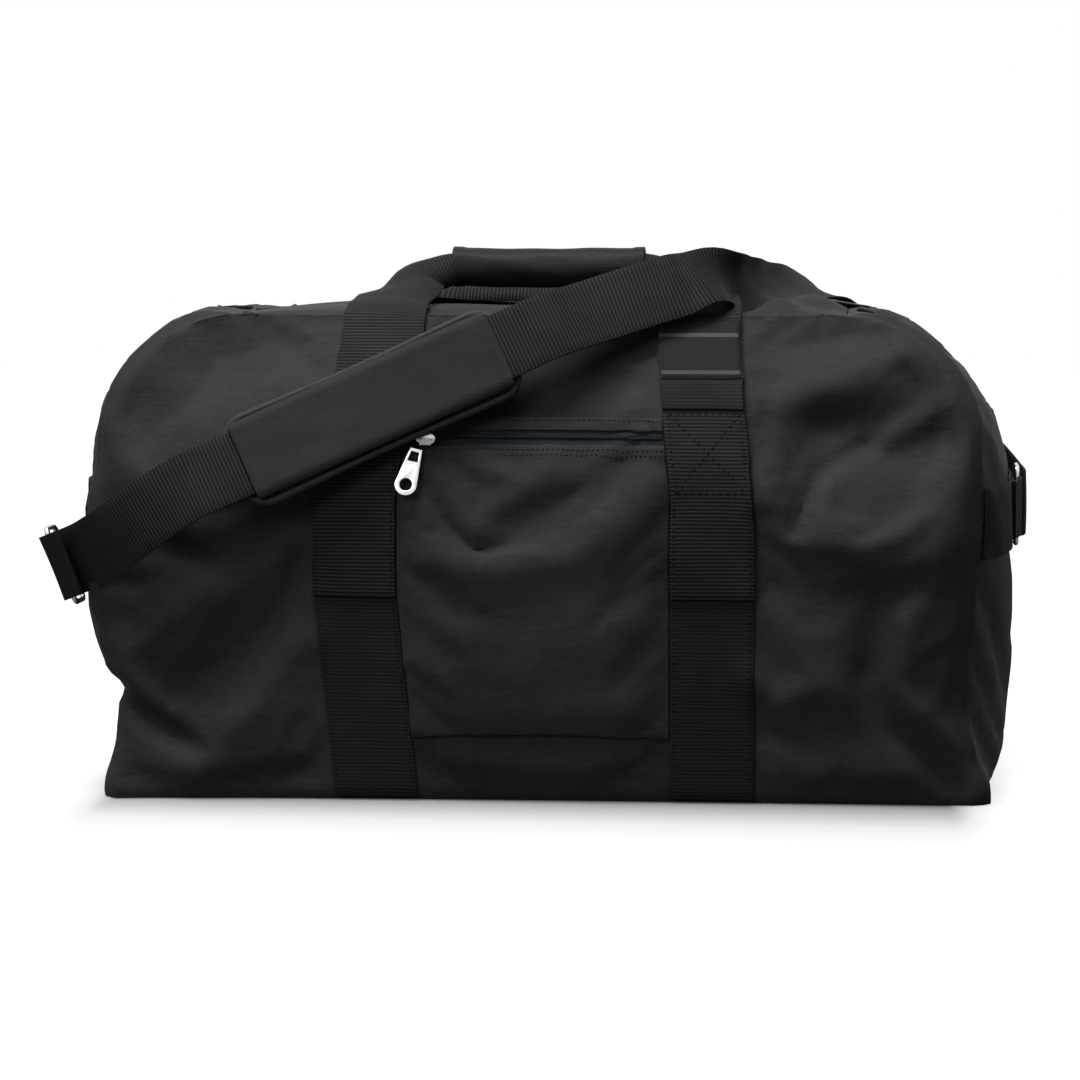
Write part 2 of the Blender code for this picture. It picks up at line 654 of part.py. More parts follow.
def rings_and_tabs():
    """Each ring is held by a folded webbing tab that comes off its end band."""
    for hand, side, home, root in (("left", -1.0, LEFT_RING_HOME, LEFT_TAB_ROOT),
                                   ("right", 1.0, RIGHT_RING_HOME, RIGHT_TAB_ROOT)):
        bar, along = ring_axes(side)
        hinge = pivot(f"strap_ring_{hand}_hinge", home)
        corner = RING_CORNER
        half = RING_INNER_WIDTH / 2.0 + RING_WIRE
        flat = []
        for corner_x, corner_y, start in ((half - corner, RING_LENGTH - corner, 0.0),
                                          (corner - half, RING_LENGTH - corner, 90.0),
                                          (corner - half, corner, 180.0),
                                          (half - corner, corner, 270.0)):
            flat += arc(corner_x, corner_y, corner, start, start + 90.0, 4)
        points = [home + bar * x + along * y for x, y in flat]
        tube(f"strap_ring_{hand}", points, RING_WIRE, (STEEL, 0.25, 1.0), hinge, cyclic=True)

        radius = RING_WIRE + TAB_SLACK + TAB_THICKNESS / 2.0
        lead = home - root
        lead -= bar * lead.dot(bar)
        ahead = lead.normalized()
        out = bar.cross(ahead) * side
        route = [home - lead - out * radius, home - lead / 2.0 - out * radius]
        for step in range(9):
            angle = math.pi * step / 8
            route.append(home - out * radius * math.cos(angle) + ahead * radius * math.sin(angle))
        route += [home - lead / 2.0 + out * radius, home - lead + out * radius]
        facings = []
        for index in range(len(route)):
            tangent = route[min(index + 1, len(route) - 1)] - route[max(index - 1, 0)]
            facings.append(bar.cross(tangent).normalized())
        ribbon(f"end_tab_{hand}", route, facings, [TAB_WIDTH] * len(route), TAB_THICKNESS,
               (BLACK_WEBBING, 0.65))


def strap_loop(bar_centre, bar, leave):
    """Points that turn once round a ring bar: back from the bar, round it, and out again."""
    back = bar.cross(leave).normalized()
    route = [bar_centre + leave * STRAP_TURN_BACK + back * STRAP_LOOP_RADIUS]
    for step in range(9):
        angle = math.pi * step / 8
        route.append(bar_centre + back * STRAP_LOOP_RADIUS * math.cos(angle)
                     - leave * STRAP_LOOP_RADIUS * math.sin(angle))
    return route


def shoulder_strap():
    """The strap lies from the left ring over the front and the top to the right ring."""
    webbing = (BLACK_WEBBING, 0.65)
    run = (PAD_HIGH_END - PAD_LOW_END).normalized()
    straight_end = PAD_HIGH_END + run * PAD_TRAVEL

    bar, along = ring_axes(-1.0)
    near = LEFT_RING_HOME + along * RING_LENGTH
    first = Vector((-0.316, -0.1715, 0.180))
    leave = (first - near)
    leave = (leave - bar * leave.dot(bar)).normalized()
    loop = strap_loop(near, bar, leave)
    loop_faces = faces_round(loop, bar)
    lead_end = loop[-1] + leave * STRAP_LEAD
    points = [loop[-1], lead_end, first, PAD_LOW_END - run * PAD_TRAVEL, PAD_LOW_END]
    looks = [loop_faces[-1], loop_faces[-1], Vector((-0.2, -0.96, 0.2)), PAD_FACING, PAD_FACING]
    route = loop[:-1] + smooth_route(points, STRAP_STEPS) + [PAD_HIGH_END, straight_end]
    faces = loop_faces[:-1] + turning_faces(looks, STRAP_STEPS) + [PAD_FACING, PAD_FACING]
    ribbon("shoulder_strap_lower", route, faces, [STRAP_WIDTH] * len(route), STRAP_THICKNESS, webbing)

    upper = [straight_end, Vector((0.042, -0.139, 0.3525)), Vector((0.0735, -0.130, 0.3628))]
    crest = [upper[-1], Vector((0.1016, -0.1225, 0.3714)), Vector((0.125, -0.112, 0.3805)),
             Vector((0.149, -0.062, 0.3775)), Vector((0.163, -0.020, 0.3750))]
    rear = [crest[-1], Vector((0.183, 0.060, 0.3670)), Vector((0.206, 0.117, 0.3575)),
            Vector((0.256, 0.166, 0.305)), Vector((0.308, 0.169, 0.255)), Vector((0.3435, 0.118, 0.220)),
            Vector((0.3560, 0.072, 0.205))]
    upper_faces = [PAD_FACING, Vector((0.0, -0.93, 0.37)), Vector((0.05, -0.92, 0.39))]
    crest_faces = [upper_faces[-1], Vector((0.10, -0.92, 0.40)), Vector((0.30, -0.62, 0.73)),
                   Vector((0.50, -0.20, 0.84)), Vector((0.40, -0.10, 0.91))]
    rear_faces = [crest_faces[-1], Vector((0.30, 0.00, 0.95)), Vector((0.30, 0.30, 0.90)),
                  Vector((0.35, 0.75, 0.55)), Vector((0.60, 0.75, 0.20)), Vector((0.95, 0.30, 0.00)),
                  Vector((1.00, 0.10, 0.00))]
    bar, along = ring_axes(1.0)
    near = RIGHT_RING_HOME + along * RING_LENGTH
    leave = (rear[-1] - near)
    leave = (leave - bar * leave.dot(bar)).normalized()
    loop = strap_loop(near, -bar, leave)
    loop_faces = faces_round(loop, -bar)
    rear[-1] = loop[-1] + leave * STRAP_LEAD
    rear.append(loop[-1])
    rear_faces[-1] = -loop_faces[-1]
    rear_faces.append(-loop_faces[-1])
    for name, points, faces, tail in (("shoulder_strap_upper", upper, upper_faces, None),
                                      ("shoulder_strap_crest", crest, crest_faces, None),
                                      ("shoulder_strap_rear", rear, rear_faces, loop)):
        route = smooth_route(points, STRAP_STEPS)
        looks = turning_faces(faces, STRAP_STEPS)
        trim_ends(route, tail is None)
        if tail is not None:
            route += list(reversed(tail[:-1]))
            looks += [-face for face in reversed(loop_faces[:-1])]
        ribbon(name, route, looks, [STRAP_WIDTH] * len(route), STRAP_THICKNESS, webbing)

    shoulder_pad(run)


def trim_ends(route, both):
    """Draw the ends of a strap piece in so that neighbours meet with a small gap."""
    route[0] = route[0] + (route[1] - route[0]).normalized() * STRAP_JOIN
    if both:
        route[-1] = route[-1] + (route[-2] - route[-1]).normalized() * STRAP_JOIN


def faces_round(route, bar):
    """The way a band looks at each point of a turn about a bar."""
    last = len(route) - 1
    return [bar.cross(route[min(i + 1, last)] - route[max(i - 1, 0)]).normalized() for i in range(last + 1)]


def shoulder_pad(run):
    """A crowned pad under the strap and the sleeve that holds it there."""
    across = PAD_FACING.cross(run).normalized()
    facing = run.cross(across).normalized()
    strap_middle = (PAD_LOW_END + PAD_HIGH_END) / 2.0
    centre = strap_middle - facing * (STRAP_THICKNESS / 2.0 + 2.0 * GAP + PAD_THICKNESS / 2.0)
    slide = pivot("shoulder_pad_slide", strap_middle)
    flat_share = 0.22
    crown_share = 0.5

    def rounded(value, power):
        return math.copysign(abs(value) ** power, value)

    mesh = bpy.data.meshes.new("shoulder_pad")
    ball = bmesh.new()
    bmesh.ops.create_uvsphere(ball, u_segments=36, v_segments=12, radius=1.0)
    for vert in ball.verts:
        level = math.sqrt(max(1.0 - vert.co.z ** 2, 0.0))
        turn = math.atan2(vert.co.y, vert.co.x)
        x = rounded(math.cos(turn), flat_share) * level ** flat_share
        y = rounded(math.sin(turn), flat_share) * level ** flat_share
        z = rounded(vert.co.z, crown_share)
        waist = 1.0 - PAD_WAIST * math.cos(x * math.pi / 2.0) ** 2
        vert.co = (centre + run * (x * PAD_LENGTH / 2.0) + across * (y * waist * PAD_WIDTH / 2.0)
                   + facing * (z * PAD_THICKNESS / 2.0))
    bmesh.ops.recalc_face_normals(ball, faces=ball.faces)
    ball.to_mesh(mesh)
    ball.free()
    place_object("shoulder_pad", mesh, (PAD_FABRIC, 0.8), slide)
    mesh.shade_smooth()

    channel = STRAP_THICKNESS + 3.0 * GAP
    wall_start = STRAP_WIDTH / SLEEVE_WIDTH + 0.06

    def sleeve(u, v):
        side = abs(2.0 * u - 1.0)
        drop = max(side - wall_start, 0.0) / (1.0 - wall_start)
        height = channel * (1.0 - drop) + GAP
        base = centre + facing * (PAD_THICKNESS / 2.0 + GAP + SLEEVE_THICKNESS)
        return (base + run * (SLEEVE_LENGTH * (v - 0.5)) + across * (SLEEVE_WIDTH * (u - 0.5))
                + facing * height)

    sheet("pad_sleeve", 20, 2, sleeve, SLEEVE_THICKNESS, -1.0, (PAD_FABRIC, 0.7), slide)


clear_scene()
PARTS = make_collection("hockey_equipment_bag")
body_panels()
webbings()
label()
front_pocket()
top_and_main_zip()
handles()
end_bands()
rings_and_tabs()
shoulder_strap()
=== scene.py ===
# %% [markdown]
# # A soft hockey equipment bag
# The bag is a stuffed box of black nylon with a zipped top, a zipped front pocket, two webbing carry
# handles and a padded shoulder strap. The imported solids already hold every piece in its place, so this
# lesson loads them as a frame and dresses each one in cloth, webbing, stitching and metal.

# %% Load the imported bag
import json
import math

import bmesh
import bpy
from mathutils import Euler, Matrix, Vector, noise
from mathutils.bvhtree import BVHTree


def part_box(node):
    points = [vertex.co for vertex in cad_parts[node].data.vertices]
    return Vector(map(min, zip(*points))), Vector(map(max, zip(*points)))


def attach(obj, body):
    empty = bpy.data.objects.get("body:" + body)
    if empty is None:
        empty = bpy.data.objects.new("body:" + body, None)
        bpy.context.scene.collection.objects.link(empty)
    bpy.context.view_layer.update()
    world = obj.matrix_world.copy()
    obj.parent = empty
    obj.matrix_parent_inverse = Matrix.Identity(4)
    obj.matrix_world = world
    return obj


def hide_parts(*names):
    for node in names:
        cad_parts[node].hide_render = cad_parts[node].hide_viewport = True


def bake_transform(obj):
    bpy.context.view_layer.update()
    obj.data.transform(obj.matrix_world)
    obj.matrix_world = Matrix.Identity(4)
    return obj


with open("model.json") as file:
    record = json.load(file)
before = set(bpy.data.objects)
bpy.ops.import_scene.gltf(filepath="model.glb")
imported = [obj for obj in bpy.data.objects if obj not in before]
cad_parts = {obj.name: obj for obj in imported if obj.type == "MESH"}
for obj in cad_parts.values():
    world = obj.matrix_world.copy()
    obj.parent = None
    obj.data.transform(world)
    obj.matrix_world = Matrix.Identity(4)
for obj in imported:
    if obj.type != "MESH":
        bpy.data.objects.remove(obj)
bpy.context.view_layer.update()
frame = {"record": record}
SCENE = bpy.context.scene

# %% [markdown]
# ## The camera and the studio
# A product picture is taken from far away with a long lens, so the bag keeps its square look. The camera
# stands a little to the right and a little above the top, and looks slightly down.

# %% Camera
IMAGE_WIDTH = 1080
SENSOR_WIDTH = 36.0
FOCAL_PIXELS = 3500.0
HORIZON_SHIFT = 322.0
VIEW_AZIMUTH = math.radians(5.5)
VIEW_PITCH = math.atan(HORIZON_SHIFT / FOCAL_PIXELS)
CAMERA_DISTANCE = 2.664
CAMERA_HEIGHT = 0.42
CAMERA_SIDE = -0.0084

camera_data = bpy.data.cameras.new("camera")
camera_data.sensor_width = SENSOR_WIDTH
camera_data.lens = FOCAL_PIXELS / IMAGE_WIDTH * SENSOR_WIDTH
camera = bpy.data.objects.new("camera", camera_data)
SCENE.collection.objects.link(camera)
view_right = Vector((math.cos(VIEW_AZIMUTH), math.sin(VIEW_AZIMUTH), 0.0))
view_forward = Vector((-math.sin(VIEW_AZIMUTH), math.cos(VIEW_AZIMUTH), 0.0))
camera.location = view_right * CAMERA_SIDE - view_forward * CAMERA_DISTANCE
camera.location.z = CAMERA_HEIGHT
camera.rotation_euler = (math.pi / 2.0 - VIEW_PITCH, 0.0, VIEW_AZIMUTH)
SCENE.camera = camera
print("lens", round(camera_data.lens, 1), "mm")

# %% [markdown]
# The floor, the world and every finish are trees of nodes. A small class keeps one tree at hand, so that a
# pattern can be written as a sum: a value that is given to a node is either set there or joined to it.

# %% Node trees


class Graph:
    """The nodes of one material or world, with short ways to add and join them."""

    def __init__(self, tree):
        self.nodes, self.links = tree.nodes, tree.links

    def feed(self, socket, value):
        """Join the output of another node to a socket, or set the socket's value."""
        if isinstance(value, bpy.types.NodeSocket):
            self.links.new(value, socket)
        else:
            socket.default_value = value

    def fill(self, node, values):
        """Feed inputs of a node by their names."""
        for name, value in values.items():
            self.feed(node.inputs[name], value)

    def add(self, kind, **values):
        """A new node: each value goes to the input of that name, or else to the setting."""
        node = self.nodes.new("ShaderNode" + kind)
        for name, value in values.items():
            if name in node.inputs:
                self.feed(node.inputs[name], value)
            else:
                setattr(node, name, value)
        return node

    def maths(self, operation, first, second=0.0):
        node = self.add("Math", operation=operation)
        self.feed(node.inputs[0], first)
        self.feed(node.inputs[1], second)
        return node.outputs[0]

    def plus(self, first, second):
        return self.maths("ADD", first, second)

    def minus(self, first, second):
        return self.maths("SUBTRACT", first, second)

    def times(self, first, second):
        return self.maths("MULTIPLY", first, second)

    def join(self, kind, first, second, **values):
        """Two shaders, mixed or added."""
        node = self.add(kind, **values)
        for socket, source in zip(list(node.inputs)[-2:], (first, second)):
            self.links.new(source.outputs[0], socket)
        return node

    def ramp(self, source, *stops, blend="LINEAR"):
        """Colours by the level of a pattern, from stops of (level, colour)."""
        node = self.add("ValToRGB", Fac=source)
        node.color_ramp.interpolation = blend
        elements = node.color_ramp.elements
        for level, _ in stops[1:-1]:
            elements.new(level)
        for element, (level, colour) in zip(elements, stops):
            element.position, element.color = level, (*colour, 1.0)
        return node.outputs["Color"]

    def bands(self, vector, direction, pitch):
        """Stripes of a given pitch in metres."""
        wave = self.add("TexWave", wave_type="BANDS", bands_direction=direction, Vector=vector,
                        Scale=math.pi / 10.0 / pitch)
        return wave.outputs["Fac"]

    def cloud(self, vector, scale, detail=3.0):
        return self.add("TexNoise", Vector=vector, Scale=scale, Detail=detail).outputs["Fac"]


def new_material(name):
    material = bpy.data.materials.new(name)
    material.use_nodes = True
    graph = Graph(material.node_tree)
    return material, graph, graph.nodes["Principled BSDF"]


print("node helpers ready")

# %% [markdown]
# The picture has a white surround with a soft shadow under the bag. A white world alone would wash the
# black cloth out, so the surround is white only for rays that come from the camera, from shiny metal or
# through glass, and the light on the bag comes from large soft lamps. The floor glows white for the camera
# too, but less and less towards the bag: that darker patch round the base is a painted shadow, with the
# faint real shadow of the lamps on the grey floor under it.

# %% Floor, world and lamps
FLOOR_SIZE = 14.0
FLOOR_DROP = 0.0006
FLOOR_GREY = 0.12
FLOOR_ROUGHNESS = 0.9
# Painted shadow: near this footprint the floor's glow for the camera fades out, over the reach in front and
# at the sides.
FOOTPRINT = (0.300, 0.150, 0.0)
SHADOW_REACH = (0.024, 0.120, 1.0)
GLOW_AND_PAINTED_SHADOW_STOPS = ((0.0, 0.04), (0.20, 0.60), (0.50, 0.92), (1.0, 1.0))
GLOW_SPAN = 4.0
WHITE = (1.0, 1.0, 1.0, 1.0)
WORLD_LIGHT = 0.085
LAMP_TARGET = Vector((0.0, 0.0, 0.2))


def build_floor():
    bpy.ops.mesh.primitive_plane_add(size=FLOOR_SIZE, location=(0.0, 0.0, -FLOOR_DROP))
    floor = bpy.context.object
    floor.name = "studio_floor"
    material, graph, shader = new_material("studio_floor")
    grey = (FLOOR_GREY, FLOOR_GREY, FLOOR_GREY, 1.0)
    graph.fill(shader, {"Base Color": grey, "Roughness": FLOOR_ROUGHNESS})
    # Painted shadow: the camera's glow is darkest at the bag's footprint and white further off.
    reach = graph.add("TexCoord").outputs["Object"]
    for operation, value in (("ABSOLUTE", None), ("SUBTRACT", FOOTPRINT), ("MAXIMUM", (0.0, 0.0, 0.0)),
                             ("DIVIDE", SHADOW_REACH), ("LENGTH", None)):
        step = graph.add("VectorMath", operation=operation)
        graph.feed(step.inputs[0], reach)
        if value:
            step.inputs[1].default_value = value
        reach = step.outputs["Value" if operation == "LENGTH" else "Vector"]
    stops = [(level, (grey, grey, grey)) for level, grey in GLOW_AND_PAINTED_SHADOW_STOPS]
    glow = graph.add("Emission", Color=graph.ramp(graph.maths("DIVIDE", reach, GLOW_SPAN), *stops))
    dark = graph.add("Emission", Strength=0.0)
    seen = graph.join("MixShader", dark, glow, Fac=graph.add("LightPath").outputs["Is Camera Ray"])
    both = graph.join("AddShader", shader, seen)
    graph.fill(graph.nodes["Material Output"], {"Surface": both.outputs[0]})
    floor.data.materials.append(material)


def build_world():
    world = bpy.data.worlds.new("studio")
    world.use_nodes = True
    SCENE.world = world
    graph = Graph(world.node_tree)
    plain = graph.nodes["Background"]
    graph.fill(plain, {"Color": WHITE, "Strength": WORLD_LIGHT})
    path = graph.add("LightPath")
    seen = path.outputs["Is Camera Ray"]
    for ray in ("Is Glossy Ray", "Is Transmission Ray"):
        seen = graph.maths("MAXIMUM", seen, path.outputs[ray])
    mix = graph.join("MixShader", plain, graph.add("Background", Color=WHITE, Strength=1.0), Fac=seen)
    graph.fill(graph.nodes["World Output"], {"Surface": mix.outputs[0]})


def softbox(name, place, size, power):
    lamp = bpy.data.lights.new(name, "AREA")
    lamp.shape = "RECTANGLE"
    lamp.size, lamp.size_y = size
    lamp.energy = power
    item = bpy.data.objects.new(name, lamp)
    item.location = place
    item.rotation_euler = (LAMP_TARGET - Vector(place)).to_track_quat("-Z", "Y").to_euler()
    SCENE.collection.objects.link(item)


build_floor()
build_world()
softbox("overhead", (-0.25, -0.65, 2.3), (1.3, 0.7), 92.0)
softbox("front", (-1.1, -2.3, 1.6), (1.1, 1.1), 31.0)
softbox("right_side", (2.2, -0.9, 1.1), (1.0, 1.4), 0.8)
SCENE.view_settings.view_transform = "Standard"

# %% [markdown]
# ## Finishes
# Everything here is black, so the finishes are told apart by their weave and gloss. Each one is a node
# material: a fine pattern in real millimetres drives bump, roughness and a small change of colour. The
# pattern is worked out from the mesh itself, because an image could not be carried along.

# %% Bumps and creases
CREASE_STRENGTH = 0.7
CREASE_DEPTH = 0.0022


def lay_bump(graph, shader, height, strength, depth, creases=None):
    """Bump from a fine pattern, laid over a coarser one if it is given."""
    bump = graph.add("Bump", Strength=strength, Distance=depth, Height=height)
    if creases is not None:
        coarse = graph.add("Bump", Strength=CREASE_STRENGTH, Distance=CREASE_DEPTH, Height=creases)
        graph.fill(bump, {"Normal": coarse.outputs["Normal"]})
    graph.fill(shader, {"Normal": bump.outputs["Normal"]})


def crease_lines(graph, vector, scale):
    """Sharp ridges where a soft noise passes its middle value, as cloth shows once it has been folded."""
    bent = graph.cloud(vector, scale, 2.0)
    away = graph.maths("ABSOLUTE", graph.minus(bent, 0.5))
    return graph.maths("POWER", graph.minus(1.0, graph.times(away, 4.0)), 3.0)


# %% Woven nylon and padded cloth


def threads(graph, vector, pitch):
    """Crossed threads along the three axes, each fading out where the cloth faces that way."""
    split = graph.add("SeparateXYZ", Vector=graph.add("TexCoord").outputs["Normal"])
    weave = None
    for axis in "XYZ":
        facing = graph.times(split.outputs[axis], split.outputs[axis])
        shown = graph.maths("POWER", graph.minus(1.0, facing), 3.0)
        wave = graph.minus(graph.bands(vector, axis, pitch), 0.5)
        thread = graph.plus(0.7, graph.times(wave, shown))
        weave = thread if weave is None else graph.times(weave, thread)
    return weave


def woven(name, dark, light, pitch, gloss, sheen, crumple=0.3, shine=0.06):
    """Plain weave: crossed threads with thick places along them, worn paler in soft clouds."""
    material, graph, shader = new_material(name)
    vector = graph.add("TexCoord").outputs["Object"]
    weave = threads(graph, vector, pitch)
    wear = graph.cloud(vector, 9.0)
    grain = graph.cloud(vector, 700.0, 2.0)
    stretch = graph.add("Mapping", Vector=vector, Scale=(0.14, 0.14, 1.0))
    slubs = graph.cloud(stretch.outputs["Vector"], 620.0, 2.0)
    mixed = graph.plus(wear, graph.plus(grain, slubs))
    tone = graph.plus(graph.times(weave, 0.16), graph.times(mixed, 0.28))
    graph.fill(shader, {
        "Base Color": graph.ramp(tone, (0.25, dark), (0.75, light)),
        "Roughness": graph.plus(gloss, graph.times(grain, 0.18)),
        "Sheen Weight": sheen,
        "Sheen Roughness": 0.4,
        "Specular IOR Level": shine,
    })
    folds = graph.plus(graph.cloud(vector, 26.0), graph.times(crease_lines(graph, vector, 11.0), 0.45))
    height = graph.plus(weave, graph.times(grain, 0.8))
    lay_bump(graph, shader, height, 0.45, 0.0004, graph.times(folds, crumple))
    return material


def ribbed(name, dark, light, rib_pitch, gloss, relief=0.6):
    """Webbing: ribs across the band and fine threads along it, laid out in the band's own metres."""
    material, graph, shader = new_material(name)
    vector = graph.add("TexCoord").outputs["UV"]
    rib = graph.bands(vector, "Y", rib_pitch)
    thread = graph.bands(vector, "X", rib_pitch * 0.55)
    wear = graph.cloud(vector, 30.0)
    tone = graph.plus(graph.times(rib, 0.6), graph.times(wear, 0.4))
    graph.fill(shader, {
        "Base Color": graph.ramp(tone, (0.40, dark), (0.90, light)),
        "Roughness": graph.plus(gloss, graph.times(thread, 0.15)),
        "Specular IOR Level": 0.02,
    })
    lay_bump(graph, shader, graph.plus(rib, graph.times(thread, 0.35)), relief, 0.0006)
    return material


# %% Metal, thread and label
LABEL_BLACK = (0.005, 0.005, 0.0055)
LABEL_GREY = (0.060, 0.060, 0.063)
LABEL_STOPS = ((0.0, LABEL_BLACK), (0.16, LABEL_GREY), (0.22, LABEL_BLACK), (0.78, LABEL_GREY),
               (0.84, LABEL_BLACK))
LABEL_PITCH = 0.0007


def bright_metal(name, colour, gloss):
    """Plated steel with faint scratches and dulled patches."""
    material, graph, shader = new_material(name)
    vector = graph.add("TexCoord").outputs["Object"]
    dull = graph.cloud(vector, 160.0)
    scratch = graph.cloud(vector, 1500.0, 1.0)
    graph.fill(shader, {
        "Base Color": graph.ramp(dull, (0.3, [part * 0.82 for part in colour]), (0.7, colour)),
        "Roughness": graph.plus(gloss, graph.times(dull, 0.16)),
        "Metallic": 1.0,
    })
    lay_bump(graph, shader, scratch, 0.12, 0.0002)
    return material


def striped_label(name, low_z, high_z):
    """A woven label left bare but for two plain woven lines."""
    material, graph, shader = new_material(name)
    vector = graph.add("TexCoord").outputs["Object"]
    height = graph.add("SeparateXYZ", Vector=vector).outputs["Z"]
    share = graph.add("MapRange", Value=height, **{"From Min": low_z, "From Max": high_z})
    stripe = graph.ramp(share.outputs[0], *LABEL_STOPS, blend="CONSTANT")
    weave = graph.times(graph.bands(vector, "X", LABEL_PITCH), graph.bands(vector, "Z", LABEL_PITCH))
    shade = graph.add("Mix", data_type="RGBA", blend_type="MULTIPLY", Factor=0.4, A=stripe, B=weave)
    graph.fill(shader, {"Base Color": shade.outputs["Result"], "Roughness": 0.55, "Specular IOR Level": 0.08})
    lay_bump(graph, shader, weave, 0.5, 0.0003)
    return material


NYLON = woven("nylon", (0.010, 0.0104, 0.0110), (0.0315, 0.0325, 0.0340), 0.0008, 0.44, 0.015, 1.0, 0.03)
LINING = woven("lining", (0.012, 0.012, 0.013), (0.024, 0.024, 0.025), 0.0009, 0.62, 0.03)
PAD_CLOTH = woven("pad_cloth", (0.008, 0.008, 0.008), (0.021, 0.021, 0.0218), 0.0014, 0.52, 0.02)
BINDING = woven("binding", (0.016, 0.016, 0.017), (0.038, 0.038, 0.040), 0.0009, 0.46, 0.03)
# The grip cloth is black, and its colour is set darker still as painted shade on the grip's front.
GRIP_CLOTH_WITH_PAINTED_SHADE = woven("grip_cloth_with_painted_shade", (0.006, 0.006, 0.0066), (0.015, 0.0155, 0.0165), 0.0010, 0.36, 0.01)
WEBBING = ribbed("webbing", (0.0078, 0.0078, 0.0076), (0.0268, 0.0265, 0.0255), 0.0027, 0.50, 0.30)
BAG_WEBBING = ribbed("bag_webbing", (0.0096, 0.0096, 0.0095), (0.0180, 0.0180, 0.0176), 0.0027, 0.52, 0.14)
ZIP_TAPE = ribbed("zip_tape", (0.013, 0.016, 0.018), (0.028, 0.034, 0.038), 0.0012, 0.60)
ZIP_COIL = woven("zip_coil", (0.012, 0.014, 0.016), (0.030, 0.035, 0.039), 0.0016, 0.30, 0.0)
# The thread is black, and set darker than the webbing as painted shade in the stitch holes.
THREAD_WITH_PAINTED_SHADE = woven("thread", (0.004, 0.004, 0.004), (0.012, 0.012, 0.012), 0.0006, 0.55, 0.0)
STEEL = bright_metal("steel", (0.72, 0.72, 0.73), 0.16)
BLACK_STEEL = bright_metal("black_steel", (0.030, 0.030, 0.033), 0.32)
print("finishes", len(bpy.data.materials))

# %% [markdown]
# ## The body
# The real body is five nylon panels sewn into a box and stuffed with clothes. It could be modelled as five
# plates, but stuffed cloth has no flat faces: it swells between its seams, and folds run out from the
# corners. So the five panels are laid out as grids that share their seam points, welded into one skin, and
# then relaxed as cloth with a little pressure inside.

# %% Outline of the body
HEIGHT = 0.350
CORNER_RADIUS = 0.090
TOP_HALF_LENGTH = 0.225
SIDE_STRAIGHT = HEIGHT - CORNER_RADIUS
OUTLINE_LENGTH = SIDE_STRAIGHT + CORNER_RADIUS * math.pi / 2.0
# How far each front seam stands out from a straight side, by height: the left one has a deep nick.
LEFT_SEAM = [(0.0, -0.009), (0.009, -0.009), (0.045, -0.016), (0.065, -0.017), (0.078, -0.021),
             (0.094, -0.008), (0.117, -0.002), (0.142, 0.004), (0.208, 0.005), (0.25, -0.002), (0.35, -0.001)]
RIGHT_SEAM = [(0.0, 0.012), (0.009, 0.011), (0.037, -0.002), (0.073, -0.014), (0.105, -0.011),
              (0.138, -0.006), (0.20, 0.0), (0.35, 0.0)]
# How far each end swells out between its seams, by share of the way up and over.
RIGHT_SWELL = [(0.0, 0.014), (0.10, 0.024), (0.25, 0.028), (0.38, 0.0285), (0.46, 0.0262), (0.57, 0.0258),
               (0.68, 0.020), (0.75, 0.0155), (0.85, 0.004), (0.92, 0.0), (1.0, 0.0)]
LEFT_SWELL = [(0.0, 0.008), (0.10, 0.006), (0.19, 0.004), (0.27, 0.010), (0.42, 0.014), (0.56, 0.014),
              (0.68, 0.013), (0.80, 0.011), (0.88, 0.009), (0.95, 0.005), (1.0, 0.002)]
# The nick on the left runs deep into the end, while the right seam only draws in near the front.
PINCH_POWER = {-1.0: 1.2, 1.0: 6.0}
BACK_PINCH = 0.35
END_FULLNESS = 2.4
BELLY_HEIGHT = 0.22
BELLY_DEPTH = 0.158
FOOT_DEPTH = 0.150


def clamp(value):
    return min(max(value, 0.0), 1.0)


def ease(share):
    return share * share * (3.0 - 2.0 * share)


def lerp(start, end, share):
    return start + (end - start) * share


def between(knots, value):
    """A smooth amount read from a short list of (place, amount) pairs."""
    for (start, low), (end, high) in zip(knots, knots[1:]):
        if value <= end:
            return lerp(low, high, ease(clamp((value - start) / (end - start))))
    return knots[-1][1]


def side_outline(share):
    """Half-length, height and outward slope of the right side at a share of the way up."""
    run = share * OUTLINE_LENGTH
    if run <= SIDE_STRAIGHT:
        return TOP_HALF_LENGTH + CORNER_RADIUS, run, Vector((1.0, 0.0, 0.0))
    angle = (run - SIDE_STRAIGHT) / CORNER_RADIUS
    normal = Vector((math.cos(angle), 0.0, math.sin(angle)))
    return TOP_HALF_LENGTH + CORNER_RADIUS * normal.x, SIDE_STRAIGHT + CORNER_RADIUS * normal.z, normal


def half_depth(x, z):
    """Half the depth of the body: a foot spread at the left end, a full belly, a top that leans in."""
    if z >= BELLY_HEIGHT:
        return BELLY_DEPTH - 0.050 * min((z - BELLY_HEIGHT) / 0.13, 1.0) ** 2
    leftward = clamp((0.105 - x) / 0.42)
    spread_foot = 0.026 * leftward ** 2 * max(1.0 - z / 0.160, 0.0) ** 2
    round_foot = 0.003 * max(1.0 - z / 0.010, 0.0) ** 2
    belly = 0.008 * math.sin(z / BELLY_HEIGHT * math.pi / 2.0)
    return FOOT_DEPTH + belly + spread_foot - round_foot


def front_fill(u, z):
    """How far the stuffing pushes a face out between its ends."""
    full = math.sin(math.pi * z / HEIGHT)
    if z < HEIGHT / 2.0:
        full = 0.6 + 0.4 * full
    return 0.014 * (1.0 - u * u) * full


def puff(distance):
    """Cloth stands proud a few millimetres from a sewn seam."""
    return 0.0056 * (1.0 - math.exp(-(distance / 0.0042) ** 2)) * math.exp(-distance / 0.040)


print("side outline", round(OUTLINE_LENGTH, 4), "m")
